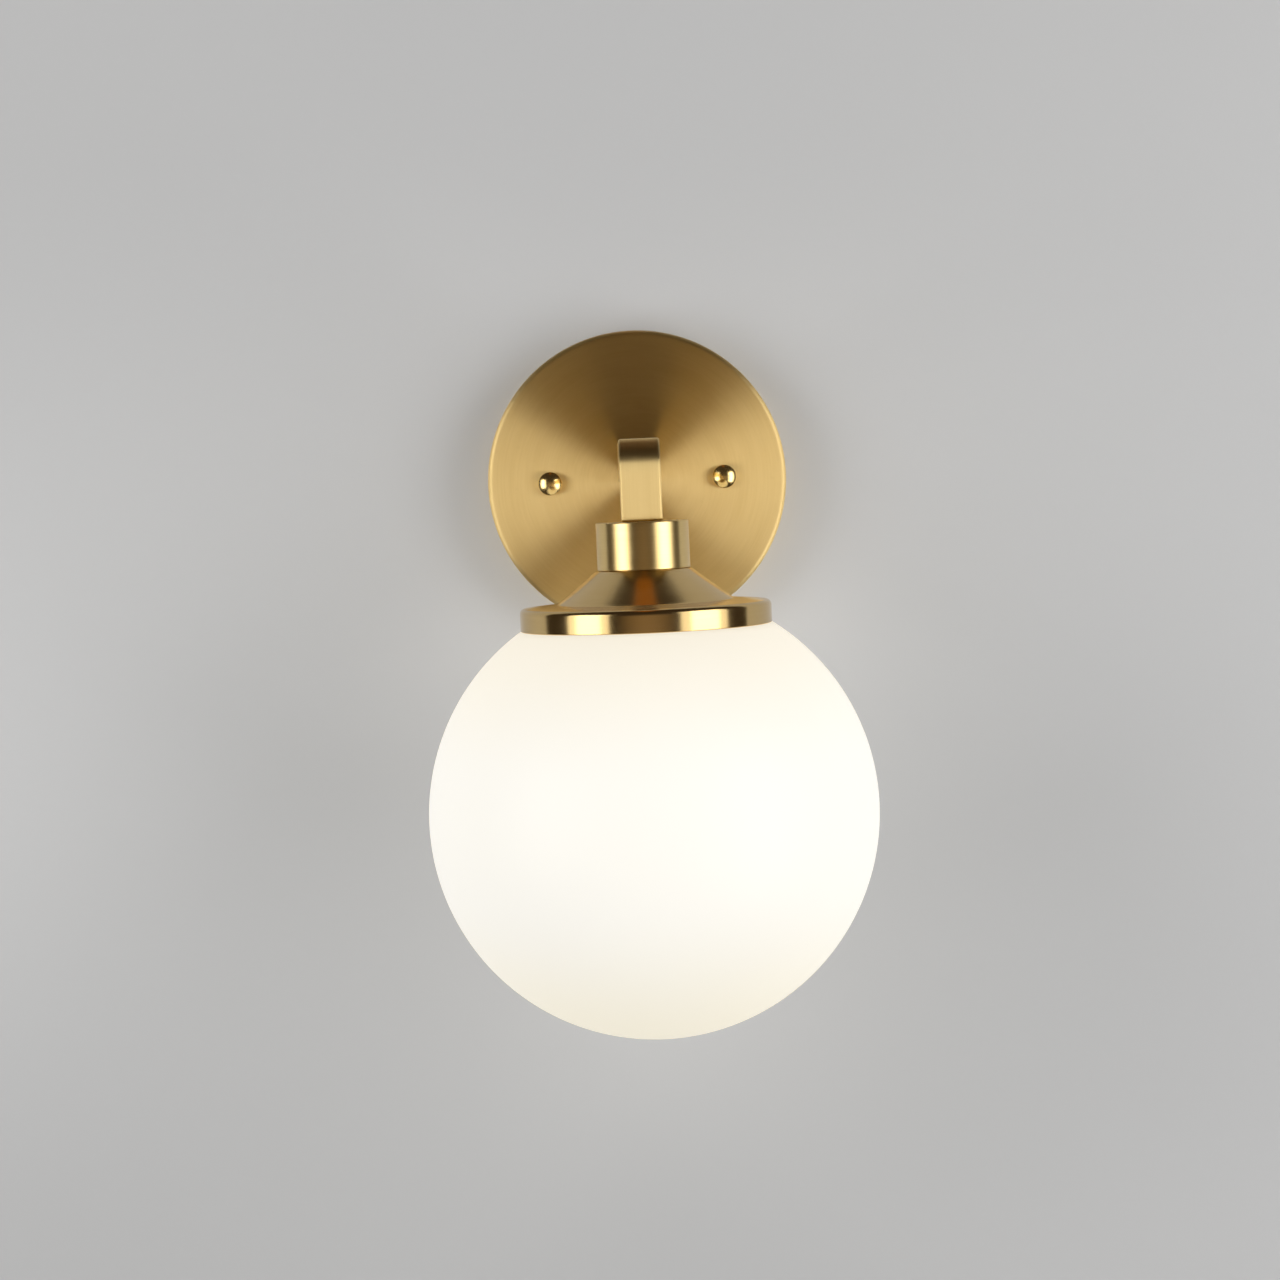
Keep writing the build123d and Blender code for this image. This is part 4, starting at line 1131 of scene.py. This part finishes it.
@dataclass
class Studio:
    """Pale wall, softboxes, a dark room that only reflections see, and the camera."""

    eye: Place = (-11.72 * MM, -1100.7 * MM, 0.21 * MM)
    yaw: float = math.radians(0.535)
    pitch: float = math.radians(-3.418)
    roll: float = math.radians(-2.452)
    lens: float = 75.51
    head_y: float = -0.12
    softboxes: tuple[Softbox, ...] = (
        Softbox("softbox_left", -1, 34, 75, 1.65, bottom=-0.54),
        Softbox("softbox_left_core", -1, 42, 66, 1.8, distance=1.12, bottom=-0.54),
        Softbox("softbox_right", 1, 30, 77, 1.5), Softbox("softbox_right_core", 1, 40, 68, 1.95, distance=1.12),
    )
    fills: tuple[Lamp, ...] = (
        Lamp("top_fill", (0.0, -1.2, 1.3), (0.0, 0.0, 0.1), (1.6, 0.8), 3.0, in_gloss=False),
        Lamp("back_fill", (0.0, 0.9, 0.35), (0.0, 0.0, 0.0), (1.4, 1.4), 3.0),
    )
    sky: Colour = (1.0, 0.995, 0.985, 1)
    ambient: float = 0.235
    backdrop: float = 0.62
    wall_light: Colour = (0.519, 0.518, 0.517, 1)
    wall_dark: Colour = (0.489, 0.488, 0.487, 1)
    wall_painted_light: Colour = (0.622, 0.621, 0.619, 1)
    wall_half: float = 5.0
    wall_back: float = 0.4 * MM
    wall_clouds: float = 3.0
    wall_grain: float = 420.0
    wall_grain_depth: float = 30 * MICRON
    lit_middle: Place = (-0.15, 0.0, -0.09)
    lit_half: Place = (0.60, 1.0, 0.245)
    box_hole: float = 59.4 * MM
    far_wall: tuple[float, float] = (0.80, 1.50)
    far_glow: float = 0.36
    room_radius: float = 2.40
    room_mouth: float = 0.71
    room_level: float = -0.33
    room_base: float = 0.045
    room_ahead: float = 0.27
    room_fade: tuple[float, float] = (-0.15, 0.25)
    room_top_share: float = 0.3
    room_warm: Colour = (1.0, 0.74, 0.50, 1)
    beam_edge: tuple[float, float] = (0.050, 0.072)
    beam_low: float = 0.2
    beam_front: float = -0.6
    beam_power: float = 0.25
    beam_colour: Colour = (1.0, 0.40, 0.07, 1)

    @staticmethod
    def paint(name: str) -> tuple[bpy.types.Material, NodeDesk, bpy.types.Node]:
        """Start a material of the studio.

        Args:
            name: material name.

        Returns:
            The material, the desk for its tree and its output node.
        """
        material = bpy.data.materials.new(name)
        material.use_nodes = True
        return material, NodeDesk(material.node_tree), material.node_tree.nodes["Material Output"]

    def camera(self) -> None:
        """Stand the camera at the eye: forward from yaw and pitch, then the picture turned by the roll."""
        forward = Vector((math.sin(self.yaw) * math.cos(self.pitch), math.cos(self.yaw) * math.cos(self.pitch),
                          math.sin(self.pitch)))
        right = forward.cross(Vector((0, 0, 1))).normalized()
        up = right.cross(forward)
        turned_right = math.cos(self.roll) * right + math.sin(self.roll) * up
        turned_up = math.cos(self.roll) * up - math.sin(self.roll) * right
        data = bpy.data.cameras.new("photo_camera")
        data.sensor_width, data.lens, data.clip_start = 36.0, self.lens, 0.01
        stand = bpy.data.objects.new("photo_camera", data)
        axes = Matrix((turned_right, turned_up, -forward)).transposed().to_4x4()
        stand.matrix_world = Matrix.Translation(self.eye) @ axes
        bpy.context.scene.collection.objects.link(stand)
        bpy.context.scene.camera = stand

    def lamps(self) -> None:
        """Hang the softboxes, a fill for the top of the wall and a weak one for the plate's back.

        The camera sees none of them.
        """
        for lamp in (*(box.lamp(self.head_y) for box in self.softboxes), *self.fills):
            data = bpy.data.lights.new(lamp.name, "AREA")
            data.shape, data.energy = "RECTANGLE", lamp.power
            data.size, data.size_y = lamp.size
            stand = bpy.data.objects.new(lamp.name, data)
            stand.location = lamp.spot
            facing = Vector(lamp.target) - Vector(lamp.spot)
            stand.rotation_euler = facing.to_track_quat("-Z", "Y").to_euler()
            stand.visible_camera, stand.visible_glossy = False, lamp.in_gloss
            bpy.context.scene.collection.objects.link(stand)

    def wall(self) -> None:
        """Put up the wall: a flat painted sheet that shows only its front, so views from behind see the part.

        A painted pool of light makes the paint paler in a soft oval round the lit globe and softens the globe's
        shadows there. Behind the plate is the hole of the wall box. Far off, where the softboxes don't reach, the
        wall is shown as pale as near the lamp and lights nothing.
        """
        half, back = self.wall_half, self.wall_back
        mesh = bpy.data.meshes.new("painted_wall")
        mesh.from_pydata([(-half, back, -half), (half, back, -half), (half, back, half), (-half, back, half)], [],
                         [(0, 1, 2, 3)])
        sheet = bpy.data.objects.new("painted_wall", mesh)
        bpy.context.scene.collection.objects.link(sheet)
        material, desk, result = self.paint("wall_paint")
        place = desk.here()
        tone = desk.between(desk.noise(place, self.wall_clouds, 4.0), self.wall_dark, self.wall_light)
        # Painted light: a paler pool in the paint round the lit globe, which also softens its shadows on the wall.
        lit = desk.ramp(desk.length(desk.about(place, self.lit_middle, self.lit_half)), 1.0, 0.0, smooth=True)
        shader = material.node_tree.nodes["Principled BSDF"]
        relief = Finish.bump(desk, desk.noise(place, self.wall_grain, 3.0), self.wall_grain_depth)
        from_axis = desk.length(place)
        far = desk.ramp(from_axis, *self.far_wall, high=self.far_glow, smooth=True)
        desk.feed(shader, {"Base Color": desk.between(lit, tone, self.wall_painted_light), "Normal": relief,
                           "Roughness": 0.85, "Specular IOR Level": 0.15, "Emission Color": (1, 1, 1, 1),
                           "Emission Strength": desk.math("MULTIPLY", far, desk.seen())})
        behind = desk.math("MAXIMUM", desk.add("NewGeometry").outputs["Backfacing"],
                           desk.add("LightPath").outputs["Is Shadow Ray"])
        open_part = desk.math("MAXIMUM", behind, desk.math("LESS_THAN", from_axis, self.box_hole))
        shown = desk.add("MixShader", {0: open_part, 1: shader.outputs[0],
                                       2: desk.add("BsdfTransparent").outputs[0]})
        desk.feed(result, {"Surface": shown.outputs[0]})
        mesh.materials.append(material)

    def dark_room(self) -> None:
        """Close the front with a dark warm ball, cut open where it meets the wall, that only reflections see.

        It is a little lighter behind the camera, and has a dim orange beam over the lamp that paints a reflection:
        the orange stripe on the holder's cone.
        A point of it is its centre plus radius * (sin p * cos q, -cos p, sin p * sin q), with p from the
        camera's side to the mouth on the wall and q round that axis.
        """
        rows, columns = 48, 64
        mouth = math.pi - math.asin(self.room_mouth / self.room_radius)
        off_axis = np.linspace(0, mouth, rows)[:, None]
        turn = (FULL_TURN * np.arange(columns) / columns)[None, :]
        back = self.room_radius * math.cos(mouth)
        points = self.room_radius * np.stack([np.sin(off_axis) * np.cos(turn), -np.cos(off_axis) + 0 * turn,
                                              np.sin(off_axis) * np.sin(turn)], axis=-1)
        points += np.array([0.0, back, self.room_level])
        room = grid_piece("dark_room", points, np.linspace(0, 1, rows), shares(columns), False, False)
        material, desk, result = self.paint("dark_room")
        place = desk.add("SeparateXYZ", {0: desk.here()}).outputs
        far = back - self.room_radius
        near = desk.math("MULTIPLY", desk.ramp(place["Y"], far, 0.8 * far, self.room_ahead, 0.0),
                         desk.ramp(place["Z"], *self.room_fade, 1.0, self.room_top_share))
        # Painted reflection: the orange beam puts the orange stripe on the holder's cone.
        above = desk.math("MULTIPLY", desk.math("GREATER_THAN", place["Z"], self.beam_low),
                          desk.math("GREATER_THAN", place["Y"], self.beam_front))
        aside = desk.math("ABSOLUTE", place["X"])
        beam = desk.math("MULTIPLY", desk.ramp(aside, *self.beam_edge, 1.0, 0.0), above)
        power = desk.math("ADD", desk.math("ADD", near, self.room_base), desk.math("MULTIPLY", beam, self.beam_power))
        glow = desk.add("Emission", {"Color": desk.between(beam, self.room_warm, self.beam_colour),
                                     "Strength": power})
        desk.feed(result, {"Surface": glow.outputs[0]})
        room.data.materials.append(material)
        room.visible_camera = room.visible_diffuse = room.visible_shadow = False

    def world(self) -> None:
        """Weak even light all round, and a pale backdrop for what the eye, gloss and glass see of it."""
        world = bpy.data.worlds.new("studio")
        bpy.context.scene.world = world
        world.use_nodes = True
        desk = NodeDesk(world.node_tree)
        strength = desk.ramp(desk.seen(), 0.0, 1.0, self.ambient, self.backdrop)
        desk.feed(world.node_tree.nodes["Background"], {"Color": self.sky, "Strength": strength})

    def build(self) -> None:
        """Set up the camera, the wall, the lamps, the dark room and the world."""
        self.camera()
        self.wall()
        self.lamps()
        self.dark_room()
        self.world()
        bpy.context.scene.view_settings.view_transform = "Standard"


def main() -> None:
    """Load the frame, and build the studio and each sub-assembly."""
    logging.basicConfig(level=logging.INFO, format="%(message)s")
    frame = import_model()
    workshop = Workshop(frame)
    Studio().build()
    for assembly in (WallPlate(), Arm(), Head(), Globe(), Fittings()):
        LOG.info("building %s", type(assembly).__name__)
        assembly.build(workshop)


if __name__ == "__main__":
    main()
